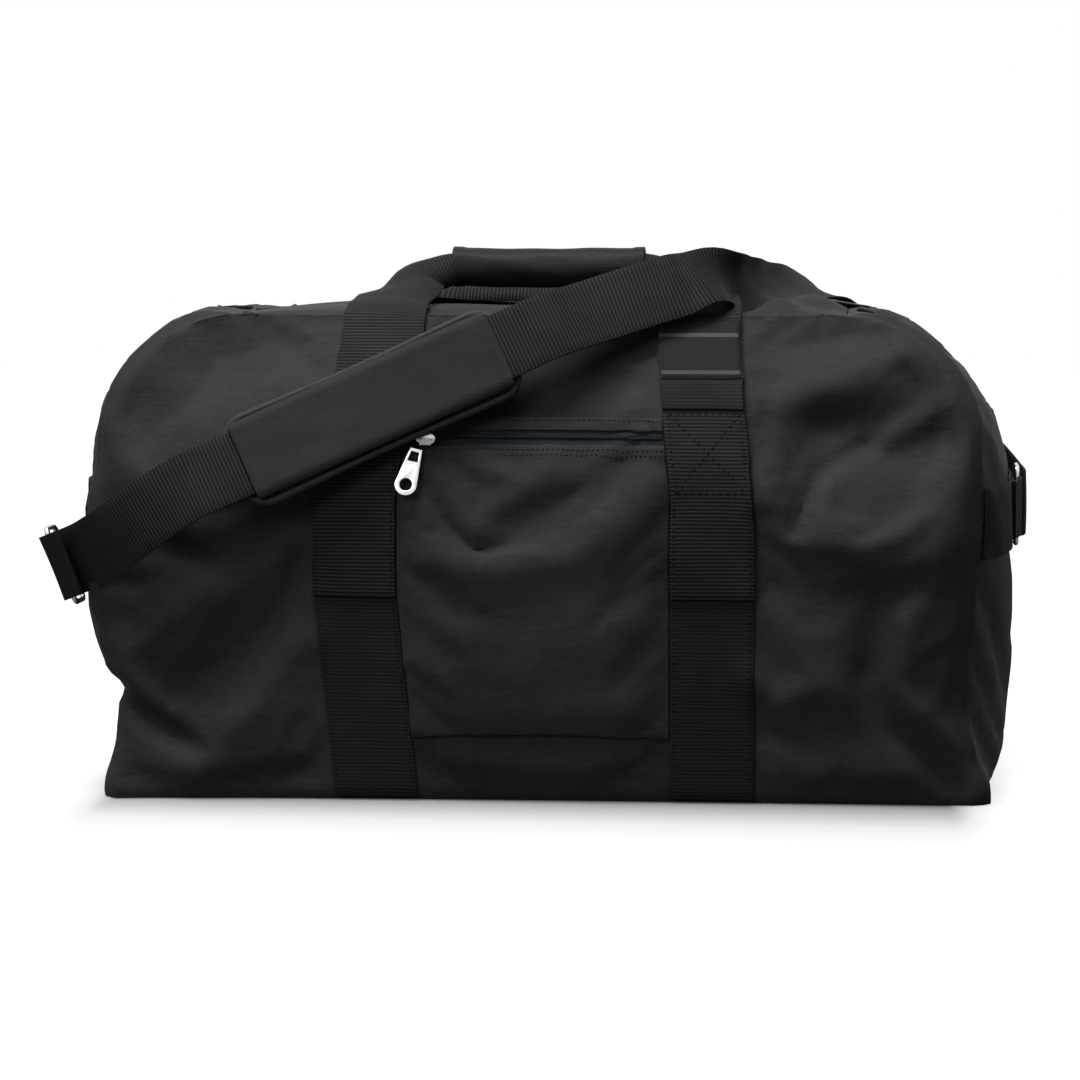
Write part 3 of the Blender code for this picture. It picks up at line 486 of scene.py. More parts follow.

# %% [markdown]
# The folds are listed one by one, because a simulation alone would put them anywhere. Each one is a line on
# the front with a soft width and a height: a positive height is a ridge and a negative one is a hollow.

# %% Folds on the front
FOLD_STRENGTH = 1.6
FRONT_FOLDS = [
    ((0.275, 0.334), (0.178, 0.290), 0.021, 0.0062),
    ((0.212, 0.272), (0.302, 0.262), 0.021, -0.0085),
    ((0.238, 0.262), (0.210, 0.246), 0.006, -0.0030),
    ((0.204, 0.240), (0.190, 0.200), 0.006, -0.0036),
    ((0.178, 0.262), (0.170, 0.222), 0.013, 0.0040),
    ((0.222, 0.198), (0.302, 0.190), 0.030, 0.0075),
    ((0.185, 0.156), (0.250, 0.158), 0.016, -0.0022),
    ((0.250, 0.152), (0.242, 0.104), 0.011, -0.0034),
    ((0.240, 0.092), (0.258, 0.062), 0.011, -0.0036),
    ((0.268, 0.050), (0.308, 0.016), 0.010, -0.0045),
    ((0.272, 0.140), (0.272, 0.082), 0.016, 0.0038),
    ((0.282, 0.066), (0.312, 0.040), 0.012, 0.0036),
    ((0.165, 0.092), (0.222, 0.086), 0.016, 0.0028),
    ((0.175, 0.060), (0.230, 0.050), 0.018, -0.0016),
    ((-0.296, 0.083), (-0.262, 0.062), 0.010, 0.0060),
    ((-0.290, 0.072), (-0.250, 0.040), 0.010, -0.0055),
    ((-0.170, 0.170), (-0.262, 0.066), 0.018, -0.0045),
    ((-0.235, 0.150), (-0.290, 0.105), 0.016, 0.0040),
    ((-0.180, 0.060), (-0.240, 0.026), 0.022, 0.0040),
    ((-0.165, 0.115), (-0.215, 0.060), 0.016, 0.0036),
    ((-0.290, 0.280), (-0.235, 0.320), 0.020, -0.0040),
    ((-0.275, 0.225), (-0.180, 0.290), 0.030, 0.0050),
    ((-0.040, 0.205), (0.015, 0.245), 0.010, 0.0026),
    ((-0.020, 0.190), (0.030, 0.226), 0.011, -0.0022),
    ((-0.045, 0.184), (0.100, 0.184), 0.026, 0.0014),
    ((0.050, 0.205), (0.090, 0.228), 0.014, 0.0024),
    ((-0.075, 0.178), (-0.030, 0.198), 0.010, 0.0024),
    ((-0.010, 0.140), (0.080, 0.170), 0.024, -0.0014),
]


def fold_height(x, z):
    """Height of all the folds at a place on the front."""
    total = 0.0
    for (x0, z0), (x1, z1), width, height in FRONT_FOLDS:
        span_x, span_z = x1 - x0, z1 - z0
        near = clamp(((x - x0) * span_x + (z - z0) * span_z) / (span_x ** 2 + span_z ** 2))
        gap = math.hypot(x - x0 - span_x * near, z - z0 - span_z * near)
        if gap < 3.0 * width:
            total += height * math.exp(-(gap / width) ** 2)
    return FOLD_STRENGTH * total


print("folds", len(FRONT_FOLDS))

# %% [markdown]
# Columns are set closer together near a seam, so the cloth can turn down into it. Front, back, ends and
# base use the same rows and columns along their shared edges, and that is what lets them weld.

# %% Panel grids
EDGE_STEPS = [0.0, 0.010, 0.023, 0.042, 0.070]


def spread(inner):
    """Shares from -1 to 1, close together at both ends."""
    low = [-1.0 + step for step in EDGE_STEPS]
    high = [1.0 - step for step in reversed(EDGE_STEPS)]
    first, last = low[-1], high[0]
    middle = [first + (last - first) * step / inner for step in range(1, inner)]
    return low + middle + high


COLUMNS = spread(108)
ROWS = [(share + 1.0) / 2.0 for share in spread(70)]
DEPTHS = spread(26)


def face_point(u, v, side):
    """A point of the front (side -1) or back (side 1) panel."""
    half, z, _ = side_outline(v)
    shift = between(LEFT_SEAM if u < 0.0 else RIGHT_SEAM, z) * (1.0 if side < 0.0 else BACK_PINCH)
    from_edge, from_top = half * (1.0 - abs(u)), (1.0 - v) * OUTLINE_LENGTH
    x = u * half + math.copysign(1.0, u) * shift * math.exp(-from_edge / 0.045)
    swell = puff(from_edge) + puff(from_top) * (1.0 - u * u) if abs(u) < 1.0 else 0.0
    fade = min(from_edge / 0.020, from_top / 0.025, 1.0)
    folds = fold_height(x if side < 0.0 else -x * 0.93, z) * fade
    return Vector((x, side * (half_depth(u * half, z) + front_fill(u, z) + swell + folds), z))


def end_skin(v, d, side):
    """A point of an end panel, from the front seam (d -1) to the back seam (d 1)."""
    half, z, normal = side_outline(v)
    depth = half_depth(side * half, z)
    power = PINCH_POWER[side]
    pinch = ((1.0 - d) / 2.0) ** power + BACK_PINCH * ((1.0 + d) / 2.0) ** power
    shift = between(LEFT_SEAM if side < 0.0 else RIGHT_SEAM, z) * pinch
    swell = between(LEFT_SWELL if side < 0.0 else RIGHT_SWELL, v) * (1.0 - abs(d) ** END_FULLNESS)
    lift = swell + (puff(depth * (1.0 - abs(d))) if abs(d) < 1.0 else 0.0)
    lift += 0.0028 * math.sin(24.0 * z + 3.0 * d) * math.sin(5.0 * d + 11.0 * z) * (1.0 - d * d)
    lift *= min((1.0 - v) * OUTLINE_LENGTH / 0.030, 1.0)
    return Vector((side * (half + shift + lift * normal.x), d * depth, z + lift * normal.z))


def base_point(u, d):
    """A point of the base, spanned between the feet of the four other panels."""
    across, deep = (u + 1.0) / 2.0, (d + 1.0) / 2.0
    feet = {s: face_point(u, 0.0, s).x for s in (-1.0, 1.0)}
    ends = {s: end_skin(0.0, d, s).x for s in (-1.0, 1.0)}
    corner = {(s, t): face_point(s, 0.0, t).x for s in (-1.0, 1.0) for t in (-1.0, 1.0)}
    front = corner[-1.0, -1.0] * (1.0 - across) + corner[1.0, -1.0] * across
    back = corner[-1.0, 1.0] * (1.0 - across) + corner[1.0, 1.0] * across
    x = (feet[-1.0] - front) * (1.0 - deep) + (feet[1.0] - back) * deep
    x += ends[-1.0] * (1.0 - across) + ends[1.0] * across
    half = TOP_HALF_LENGTH + CORNER_RADIUS
    return Vector((x, d * (half_depth(u * half, 0.0) + front_fill(u, 0.0)), 0.0))


def add_grid(mesh, held, point, firsts, seconds, flip, hold):
    """Lay one panel into the shared skin, with how firmly each of its points is held."""
    rows = []
    for second in seconds:
        row = []
        for first in firsts:
            vert = mesh.verts.new(point(first, second))
            vert[held] = hold(first, second)
            row.append(vert)
        rows.append(row)
    for low, high in zip(rows, rows[1:]):
        for index in range(len(firsts) - 1):
            corners = [low[index], low[index + 1], high[index + 1], high[index]]
            mesh.faces.new(corners[::-1] if flip else corners)


print("grid", len(COLUMNS), "columns", len(ROWS), "rows", len(DEPTHS), "deep")

# %% [markdown]
# The sewn webbing holds the cloth down in two upright bands on each face, so those columns are pinned in
# the simulation. The seams, the base and the top edge are pinned as well. Everything between them floats.

# %% Weld the skin
WEB_X = {-1.0: -0.126, 1.0: 0.131}
WEB_HALF = 0.030


def web_centre(hand, z):
    """Centre line of a webbing: both draw in towards the top, the left one also towards the base."""
    rise = clamp((z - 0.220) / 0.110)
    if hand > 0.0:
        return WEB_X[hand] - 0.012 * rise
    return WEB_X[hand] + 0.015 * rise + 0.015 * max(1.0 - z / 0.150, 0.0)


def hold_edge(to_seam, v):
    """Points are held at the seams and at both rims, and free about a centimetre away."""
    edge = min(to_seam, v * OUTLINE_LENGTH, (1.0 - v) * OUTLINE_LENGTH / 2.0)
    return clamp(1.15 - edge / 0.012)


def hold_face(u, v):
    half, z, _ = side_outline(v)
    if any(abs(u * half - web_centre(hand, z)) < WEB_HALF + 0.004 for hand in WEB_X):
        return 1.0
    return hold_edge(half * (1.0 - abs(u)), v)


def hold_end(d, v):
    return hold_edge(half_depth(0.0, 0.1) * (1.0 - abs(d)), v)


def place_mesh(name, mesh):
    """A new piece in the scene from a mesh."""
    item = bpy.data.objects.new(name, mesh)
    SCENE.collection.objects.link(item)
    return item


def place_work(name, work):
    """A new piece from a bmesh, which is freed."""
    mesh = bpy.data.meshes.new(name)
    work.to_mesh(mesh)
    work.free()
    return place_mesh(name, mesh)


skin = bmesh.new()
held_layer = skin.verts.layers.float.new("held")
for side in (-1.0, 1.0):
    add_grid(skin, held_layer, lambda u, v, s=side: face_point(u, v, s), COLUMNS, ROWS, side > 0.0, hold_face)
    add_grid(skin, held_layer, lambda d, v, s=side: end_skin(v, d, s), DEPTHS, ROWS, side < 0.0, hold_end)
add_grid(skin, held_layer, base_point, COLUMNS, DEPTHS, True, lambda u, d: 1.0)
bmesh.ops.remove_doubles(skin, verts=skin.verts, dist=0.0006)
shell = place_work("bag_shell", skin)
print("skin", len(shell.data.vertices), "points", len(shell.data.polygons), "faces")

# %% [markdown]
# Now the cloth runs for a few frames. The stuffing is a small pressure, and the cloth is cut a little too
# large, so it buckles softly near its seams. How far a point may move is capped, and the result is written
# into the mesh, so the simulation itself does not stay on the piece.

# %% Relax the skin
SKIN_FRAMES = 16
CLOTH_SETTINGS = {
    "quality": 5, "mass": 0.2, "tension_stiffness": 12.0, "compression_stiffness": 12.0,
    "shear_stiffness": 4.0, "bending_stiffness": 0.6, "vertex_group_mass": "held", "pin_stiffness": 1.0,
    "use_pressure": True,
}
CLOTH_GRAVITY = 0.15


def relax_cloth(item, pressure, growth, cap, frames):
    """Run cloth on a piece that has a point layer named held, and keep the capped result."""
    mesh = item.data
    group = item.vertex_groups.new(name="held")
    for vert, entry in zip(mesh.vertices, mesh.attributes["held"].data):
        group.add([vert.index], entry.value, "REPLACE")
    before = [vert.co.copy() for vert in mesh.vertices]
    cloth = item.modifiers.new("Cloth", "CLOTH")
    for name, value in CLOTH_SETTINGS.items():
        setattr(cloth.settings, name, value)
    cloth.settings.uniform_pressure_force = pressure
    cloth.settings.shrink_min = -growth
    cloth.settings.effector_weights.gravity = CLOTH_GRAVITY
    cloth.collision_settings.use_collision = False
    for number in range(1, frames + 1):
        SCENE.frame_set(number)
    graph = bpy.context.evaluated_depsgraph_get()
    after = [vert.co.copy() for vert in item.evaluated_get(graph).data.vertices]
    item.modifiers.remove(cloth)
    item.vertex_groups.remove(group)
    SCENE.frame_set(1)
    largest = 0.0
    for vert, old, new in zip(mesh.vertices, before, after):
        move = new - old
        if move.length > cap:
            move = move.normalized() * cap
        vert.co = old + move
        largest = max(largest, move.length)
    return largest


moved = relax_cloth(shell, 0.5, 0.012, 0.006, SKIN_FRAMES)
print("cloth moved up to", round(moved * 1000.0, 1), "mm")

# %% [markdown]
# The outer skin is kept as a search tree, because everything that is sewn on has to lie on the cloth as it
# now hangs. Then the skin gets its thickness, with lining inside, and its seams are kept sharp.

# %% Thicken the skin
SKIN_THICKNESS = 0.0022


def bake(item):
    """Write a piece's modifiers into its mesh."""
    graph = bpy.context.evaluated_depsgraph_get()
    mesh = bpy.data.meshes.new_from_object(item.evaluated_get(graph), preserve_all_data_layers=True,
                                           depsgraph=graph)
    old = item.data
    item.modifiers.clear()
    item.data = mesh
    bpy.data.meshes.remove(old)


def smooth(mesh, sharp_above=None):
    """Shade a mesh smooth, but for edges that turn more sharply than an angle in degrees."""
    mesh.shade_smooth()
    if sharp_above is not None:
        mesh.set_sharp_from_angle(angle=math.radians(sharp_above))


def dress(item, body, slot, *nodes):
    """Hang a piece on its body and hide the solids it stands for."""
    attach(item, body)
    if nodes:
        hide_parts(*nodes)
    return item


SKIN_TREE = BVHTree.FromPolygons([vert.co for vert in shell.data.vertices],
                                 [list(face.vertices) for face in shell.data.polygons])
shell.data.materials.append(NYLON)
shell.data.materials.append(LINING)
wall = shell.modifiers.new("Solidify", "SOLIDIFY")
wall.thickness = SKIN_THICKNESS
wall.offset = -1.0
wall.material_offset = 1
bake(shell)
smooth(shell.data, 55.0)
dress(shell, "bag", "fabric", "front_panel", "back_panel", "base_panel", "end_panel_left", "end_panel_right")
print("shell", len(shell.data.polygons), "faces")

# %% [markdown]
# ## Webbing
# Webbing is a flat woven band with ribs across it. A band could be a curve with a bevel, but then its ribs
# would not know which way is across. So every band is a grid of points, row by row, and its UV map holds
# real metres across and along. The finish reads its ribs from that map.

# %% Places on the skin
RAY_START = 0.6


def lifted(place, normal, towards, lift):
    """A point lifted off the skin, and the normal that looks back along the ray that found it."""
    if normal.dot(towards) > 0.0:
        normal = -normal
    return place + normal * lift, normal


def on_face(x, z, lift, side=-1.0):
    """Point and normal on the front (side -1) or back (side 1) of the skin, lifted off it."""
    towards = Vector((0.0, -side, 0.0))
    place, normal, _, _ = SKIN_TREE.ray_cast(Vector((x, side * RAY_START, z)), towards)
    if place is None or place.y * side < 0.0:
        place, normal = Vector((x, side * half_depth(x, z), z)), -towards
    return lifted(place, normal, towards, lift)


def on_end(y, z, lift, side):
    """Point and normal on the left (side -1) or right (side 1) end of the skin."""
    towards = Vector((-side, 0.0, 0.0))
    place, normal, _, _ = SKIN_TREE.ray_cast(Vector((side * RAY_START, y, z)), towards)
    return lifted(place, normal, towards, lift)


def on_top(x, y, lift):
    towards = Vector((0.0, 0.0, -1.0))
    place, normal, _, _ = SKIN_TREE.ray_cast(Vector((x, y, RAY_START)), towards)
    return lifted(place, normal, towards, lift)


def web_place(hand, side, z, share, width, lift):
    """A point across a webbing at a height, with shares 0 and 1 at the edges of a given width."""
    return on_face(web_centre(hand, z) + width * (share - 0.5) * -side, z, lift, side)[0]


print("front at middle", tuple(round(c, 4) for c in on_face(0.0, 0.15, 0.0)[0]))

# %% Bands
BAND_BEVEL_ANGLE = math.radians(55.0)
WEB_WIDTH = 0.060
WEB_LOW, WEB_HIGH = 0.0035, 0.3465
WEBBING_LIFT = 0.0026
WEBBING_THICKNESS = 0.0018


def grid_rows(rows, columns, point):
    """Rows of points from a function of two shares, along and across."""
    return [[point(r / rows, c / columns) for c in range(columns + 1)] for r in range(rows + 1)]


def running_lengths(points):
    """How far along a line each of its points is."""
    lengths = [0.0]
    for before, after in zip(points, points[1:]):
        lengths.append(lengths[-1] + (after - before).length)
    return lengths


def band(name, rows, thickness, finish, edge=0.0004):
    """A strip from rows of points: thickened, its edges rounded, its UV map in metres."""
    strip = bmesh.new()
    layer = strip.loops.layers.uv.new("metres")
    middle = len(rows[0]) // 2
    along = running_lengths([row[middle] for row in rows])
    across = [running_lengths(row) for row in rows]
    grid = [[strip.verts.new(point) for point in row] for row in rows]
    for r in range(len(rows) - 1):
        for c in range(len(rows[0]) - 1):
            corners = [(r, c), (r, c + 1), (r + 1, c + 1), (r + 1, c)]
            face = strip.faces.new([grid[i][j] for i, j in corners])
            for loop, (i, j) in zip(face.loops, corners):
                loop[layer].uv = (across[i][j], along[i])
    item = place_work(name, strip)
    item.data.materials.append(finish)
    solid = item.modifiers.new("Solidify", "SOLIDIFY")
    solid.thickness = thickness
    solid.offset = 0.0
    rim = item.modifiers.new("Bevel", "BEVEL")
    rim.width = edge
    rim.segments = 2
    rim.limit_method = "ANGLE"
    rim.angle_limit = BAND_BEVEL_ANGLE
    bake(item)
    smooth(item.data, 50.0)
    return item


web_lift = WEBBING_LIFT - WEBBING_THICKNESS / 2.0
for face, side in (("front", -1.0), ("back", 1.0)):
    for hand, hand_name in ((-1.0, "left"), (1.0, "right")):
        rows = grid_rows(64, 8, lambda v, u, h=hand, s=side: web_place(
            h, s, lerp(WEB_LOW, WEB_HIGH, v), u, WEB_WIDTH, web_lift))
        piece = band(f"webbing_on_{face}_{hand_name}", rows, WEBBING_THICKNESS, BAG_WEBBING)
        dress(piece, "bag", "webbing", f"webbing_{face}_{hand_name}")
print("webbing strips 4, each", WEB_WIDTH, "m wide")

# %% [markdown]
# ### Carry handles
# Each handle is one long band: it is sewn up the front, leaves the bag at the top edge, narrows by rolling
# up into a tube and passes through the grip to the other side. The band keeps its real width, and only its
# section curls. It is sewn to the bag at its ends and swings at the top, but here the band is one fixed
# piece.

# %% Curves and curled bands


def smooth_route(points, steps):
    """Points of a smooth curve through the given ones, steps to each span."""
    spans = [(after - before).length for before, after in zip(points, points[1:])]
    chords = [(points[i + 1] - points[i]) / spans[i] for i in range(len(spans))]
    slopes = [chords[0]]
    for index in range(1, len(spans)):
        share = spans[index - 1] / (spans[index - 1] + spans[index])
        slopes.append(chords[index - 1].lerp(chords[index], share))
    slopes.append(chords[-1])
    route = []
    for index, span in enumerate(spans):
        for step in range(steps):
            t = step / steps
            place = points[index].lerp(points[index + 1], ease(t))
            route.append(place + slopes[index] * (span * t * (1.0 - t) ** 2)
                         - slopes[index + 1] * (span * t ** 2 * (1.0 - t)))
    route.append(points[-1].copy())
    return route


def spread_values(values, steps):
    """Numbers or directions that change evenly along the spans of a route."""
    result = []
    for start, end in zip(values, values[1:]):
        result += [lerp(start, end, ease(step / steps)) for step in range(steps)]
    return result + [values[-1]]


def section_rows(route, facings, widths, curls, columns=10, camber=0.0, flat=1.0):
    """Rows of points across a route: flat where the curl is 0, rolled into a tube where it is large."""
    last = len(route) - 1
    rows = []
    for index, centre in enumerate(route):
        tangent = (route[min(index + 1, last)] - route[max(index - 1, 0)]).normalized()
        across = tangent.cross(facings[index]).normalized()
        facing = across.cross(tangent).normalized()
        width, curl = widths[index], curls[index]
        row = []
        for c in range(columns + 1):
            s = width * (c / columns - 0.5)
            if abs(curl) < 0.01:
                bow = camber * (1.0 - (2.0 * s / width) ** 2)
                row.append(centre + across * s + facing * bow)
            else:
                radius = width / curl
                angle = s / radius
                drop = flat * radius * (1.0 - math.cos(angle))
                row.append(centre + across * (radius * math.sin(angle)) - facing * drop)
        rows.append(row)
    return rows


def vectors(*places):
    return [Vector(place) for place in places]


print("band helpers ready")

# %% Front handle
HANDLE_THICKNESS = 0.0020
HANDLE_LIFT = 0.0053
SEWN_LOW, SEWN_HIGH = 0.149, 0.3450
SEWN_WIDTH = 0.0595
SEWN_STEPS = 44
LEG_STEPS = 6
FOLD_LOW, FOLD_HIGH = 0.2815, 0.3015
FOLD_WIDTH = 0.0597


def sewn_rows(hand, side):
    """Rows of the sewn end of a handle, from its lower hem up to the top edge."""
    lift = HANDLE_LIFT - HANDLE_THICKNESS / 2.0
    return grid_rows(SEWN_STEPS, 10, lambda v, u: web_place(
        hand, side, lerp(SEWN_LOW, SEWN_HIGH, v), u, SEWN_WIDTH, lift))


def leg_rows(points, looks, widths, curls, flat=1.0):
    """Rows of one leg, from the top edge of the bag to the middle of the handle."""
    looks, widths, curls = [spread_values(values, LEG_STEPS) for values in (looks, widths, curls)]
    return section_rows(smooth_route(points, LEG_STEPS), looks, widths, curls, flat=flat)


def front_leg(hand):
    x = web_centre(hand, HEIGHT)
    points = vectors((x, -0.1150, 0.3500), (x * 0.995, -0.1030, 0.3566), (x * 0.985, -0.0800, 0.3635),
                     (x * 0.93, -0.0540, 0.3722), (hand * 0.101, -0.0350, 0.3815),
                     (hand * 0.082, -0.0225, 0.3895), (hand * 0.064, -0.0178, 0.3935))
    looks = vectors((0.0, -0.75, 0.66), (0.0, -0.40, 0.92), (0.0, -0.34, 0.94), (hand * 0.12, -0.45, 0.88),
                    (hand * 0.10, -0.50, 0.80), (0.0, -0.40, 0.90), (0.0, -0.30, 0.95))
    return leg_rows(points, looks, [0.0595, 0.059, 0.058, 0.056, 0.054, 0.052, 0.050],
                    [0.0, 0.10, 0.5, 1.2, 2.4, 3.7, 4.6])


def rear_leg(hand):
    x = web_centre(hand, HEIGHT)
    points = vectors((x, 0.1150, 0.3500), (x * 0.995, 0.1030, 0.3565), (x * 0.97, 0.0800, 0.3605),
                     (x * 0.89, 0.0560, 0.3640), (hand * 0.088, 0.0395, 0.3668),
                     (hand * 0.060, 0.0340, 0.3680), (hand * 0.020, 0.0325, 0.3680))
    looks = vectors((0.0, 0.75, 0.66), (0.0, 0.30, 0.95), (0.0, 0.16, 0.98), (0.0, 0.12, 0.99),
                    (0.0, 0.05, 1.0), (0.0, 0.02, 1.0), (0.0, 0.0, 1.0))
    return leg_rows(points, looks, [0.0595, 0.059, 0.058, 0.057, 0.056, 0.055, 0.055],
                    [0.0, 0.05, 0.3, 1.0, 2.2, 3.2, 3.4], flat=0.64)


def handle_band(name, side, leg):
    """One band from the left hem to the right hem."""
    rows = sewn_rows(-1.0, side) + leg(-1.0)
    back = sewn_rows(1.0, side) + leg(1.0)
    rows += [row[::-1] for row in reversed(back)]
    return band(name, rows, HANDLE_THICKNESS, WEBBING)


def swing(item, first, second, start, end, slot, *nodes):
    """Fix a piece of cloth in place and hide the solids it stands for."""
    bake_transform(item)
    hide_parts(*nodes)


front_band = handle_band("front_handle_webbing", -1.0, front_leg)
swing(front_band, "bag", "front_handle", (0.0, -0.115, 0.343), (0.0, -0.098, 0.359), "webbing",
      "handle_end_front_left", "handle_end_front_right", "front_handle")
rear_band = handle_band("rear_handle_webbing", 1.0, rear_leg)
swing(rear_band, "bag", "rear_handle", (0.0, 0.115, 0.343), (0.0, 0.098, 0.358), "webbing",
      "handle_end_back_left", "handle_end_back_right", "rear_handle")
rows = grid_rows(6, 10, lambda v, u: web_place(
    1.0, -1.0, lerp(FOLD_LOW, FOLD_HIGH, v), u, FOLD_WIDTH, HANDLE_LIFT + 0.0009))
dress(band("handle_fold", rows, 0.0016, BAG_WEBBING, 0.0005), "bag", "webbing")
print("handle bands", len(front_band.data.polygons), len(rear_band.data.polygons), "faces")

# %% [markdown]
# ### Grip
# The grip is a smooth piece of cloth rolled once round the band, with its edge lapped over. A plain tube
# would lose that lap, so its section is a spiral of a little more than one turn, and its two ends are
# hemmed thicker.

# %% Grip wrap
GRIP_HALF = 0.0725
GRIP_CENTRE = Vector((0.0, -0.0147, 0.384))
GRIP_TURN = (math.radians(-118.0), math.radians(292.0))
GRIP_RADIUS = (0.0122, 0.0142)


def grip_point(share, turned):
    """A point of the rolled cloth by its share along the grip and round it."""
    x = lerp(-GRIP_HALF, GRIP_HALF, share)
    end = min(x + GRIP_HALF, GRIP_HALF - x)
    hem = 0.0007 * (1.0 - clamp((end - 0.007) / 0.002))
    turn = lerp(*GRIP_TURN, turned)
    wobble = noise.noise(Vector((x * 30.0, math.cos(turn) * 1.5, math.sin(turn) * 1.5)))
    radius = lerp(*GRIP_RADIUS, turned) + hem + 0.0009 * wobble
    dip = 0.0012 * math.sin(math.pi * share)
    return Vector((x, GRIP_CENTRE.y + radius * 0.94 * math.cos(turn),
                   GRIP_CENTRE.z + radius * 1.03 * math.sin(turn) - dip))


grip = band("grip_roll", grid_rows(44, 40, grip_point), 0.0012, GRIP_CLOTH_WITH_PAINTED_SHADE)
dress(grip, "front_handle", "grip", "grip_wrap")
print("grip", round(2.0 * GRIP_HALF, 3), "m long")

# %% [markdown]
# ### Label
# The label is a small woven patch on the right webbing. It is left bare but for two plain woven lines.

# %% Label patch
LABEL_HALF = 0.0285
LABEL_LOW, LABEL_HIGH = 0.302, 0.344
LABEL_LIFT = 0.0066
LABEL_THICKNESS = 0.0010


def label_point(v, u):
    z = lerp(LABEL_LOW, LABEL_HIGH, v)
    return on_face(web_centre(1.0, z) + lerp(-LABEL_HALF, LABEL_HALF, u), z, LABEL_LIFT)[0]


label_piece = band("label_woven", grid_rows(12, 12, label_point), LABEL_THICKNESS,
                   striped_label("label", LABEL_LOW, LABEL_HIGH), 0.0003)
dress(label_piece, "bag", "label", "label_patch")
print("label", 2.0 * LABEL_HALF, "by", round(LABEL_HIGH - LABEL_LOW, 3), "m")

# %% [markdown]
# ## Front pocket
# The pocket is a second layer of nylon between the two webbings, closed by a zip under the shoulder strap.
# It lies on the skin and follows its folds, so its points are found on the skin and lifted off. Its hems
# are turned under, so it stands a little higher along its edges.

# %% Pocket panel
POCKET_LOW, POCKET_HIGH = 0.047, 0.2572
POCKET_COLUMNS = 60
POCKET_SLACK = 0.0034
POCKET_INSET = 0.0008
HEM_LOW, HEM_LIFT = 0.246, 0.0010


def pocket_sides(z):
    return web_centre(-1.0, z) + WEB_HALF + POCKET_INSET, web_centre(1.0, z) - WEB_HALF - POCKET_INSET


def pocket_rows(low, high, lift, rows, slack=0.0):
    """Rows of points over the front from one webbing to the other, with slack in the cloth if it is given."""
    def point(v, u):
        dip = 0.0035 * math.sin(3.0 * u) * (1.0 - v) if slack else 0.0
        z = lerp(low, high, v) + dip
        x = lerp(*pocket_sides(z), u)
        inside = min(u, 1.0 - u, v, 1.0 - v)
        crumple = 0.5 + 0.5 * noise.noise(Vector((x * 16.0, 0.0, z * 22.0)))
        swell = slack * min(inside / 0.08, 1.0) * crumple
        if slack:
            swell += HEM_LIFT * clamp((z - HEM_LOW) / 0.004)
        return on_face(x, z, lift + swell)[0]

    return grid_rows(rows, POCKET_COLUMNS, point)


pocket = band("pocket_cloth", pocket_rows(POCKET_LOW, POCKET_HIGH, 0.0023, 60, POCKET_SLACK), 0.0014, NYLON)
dress(pocket, "bag", "fabric", "pocket_panel")
print("pocket", len(pocket.data.polygons), "faces")

# %% [markdown]
# ### Zips
# A coil zip is two ribbed tapes with a spiral of nylon along each edge. From near by, the spiral is what
# makes it read as a zip, so it is a real spiral tube here, with one turn for every tooth.

# %% Pocket zip
POCKET_ZIP = 0.2625
TAPE_WIDTH = 0.0085
TAPE_GAP, TAPE_EDGE = 0.0012, 0.0022
WELT_LOW, WELT_HIGH = 0.2672, 0.2762


def spiral(name, centres, normals, radius, wire, pitch, finish, sides=5, points_per_turn=8):
    """A coil wound about a line: the line comes as points and the way up from it."""
    lengths = running_lengths(centres)
    total = int(lengths[-1] / pitch * points_per_turn)
    path = []
    segment = 0
    for step in range(total + 1):
        run = lengths[-1] * step / total
        while segment < len(lengths) - 2 and lengths[segment + 1] < run:
            segment += 1
        share = (run - lengths[segment]) / (lengths[segment + 1] - lengths[segment])
        centre = centres[segment].lerp(centres[segment + 1], share)
        up = normals[segment].lerp(normals[segment + 1], share).normalized()
        side = (centres[segment + 1] - centres[segment]).normalized().cross(up)
        turn = 2.0 * math.pi * step / points_per_turn
        path.append(centre + up * (radius * math.sin(turn)) + side * (radius * math.cos(turn)))
    return wire_tube(name, path, wire, finish, sides)


def wire_tube(name, path, radius, finish, sides=6, closed=False):
    """A round wire swept along a path of points."""
    tube = bmesh.new()
    count = len(path)
    rings = []
    up = Vector((0.0, 0.0, 1.0))
    for index, point in enumerate(path):
        before = path[index - 1] if index or closed else point
        after = path[(index + 1) % count] if index < count - 1 or closed else point
        tangent = (after - before).normalized()
        across = tangent.cross(up)
        if across.length < 0.05:
            across = tangent.cross(Vector((0.0, 1.0, 0.0)))
        across.normalize()
        up = across.cross(tangent).normalized()
        ring = []
        for side in range(sides):
            angle = 2.0 * math.pi * side / sides
            out = across * (radius * math.cos(angle)) + up * (radius * math.sin(angle))
            ring.append(tube.verts.new(point + out))
        rings.append(ring)
    pairs = list(zip(rings, rings[1:])) + ([(rings[-1], rings[0])] if closed else [])
    for low, high in pairs:
        for side in range(sides):
            after = (side + 1) % sides
            tube.faces.new([low[side], low[after], high[after], high[side]])
    if not closed:
        tube.faces.new(rings[0][::-1])
        tube.faces.new(rings[-1])
    bmesh.ops.recalc_face_normals(tube, faces=tube.faces)
    item = place_work(name, tube)
    item.data.materials.append(finish)
    smooth(item.data)
    return item


def turned_rows(rows):
    """The same points with their columns as rows, so that a band runs along its longer way."""
    return [list(row)[::-1] for row in zip(*rows)]


def pocket_tape(name, low, high, node):
    rows = turned_rows(pocket_rows(low, high, 0.0017, 4))
    dress(band(name, rows, 0.0010, ZIP_TAPE, 0.0002), "bag", "zip", node)


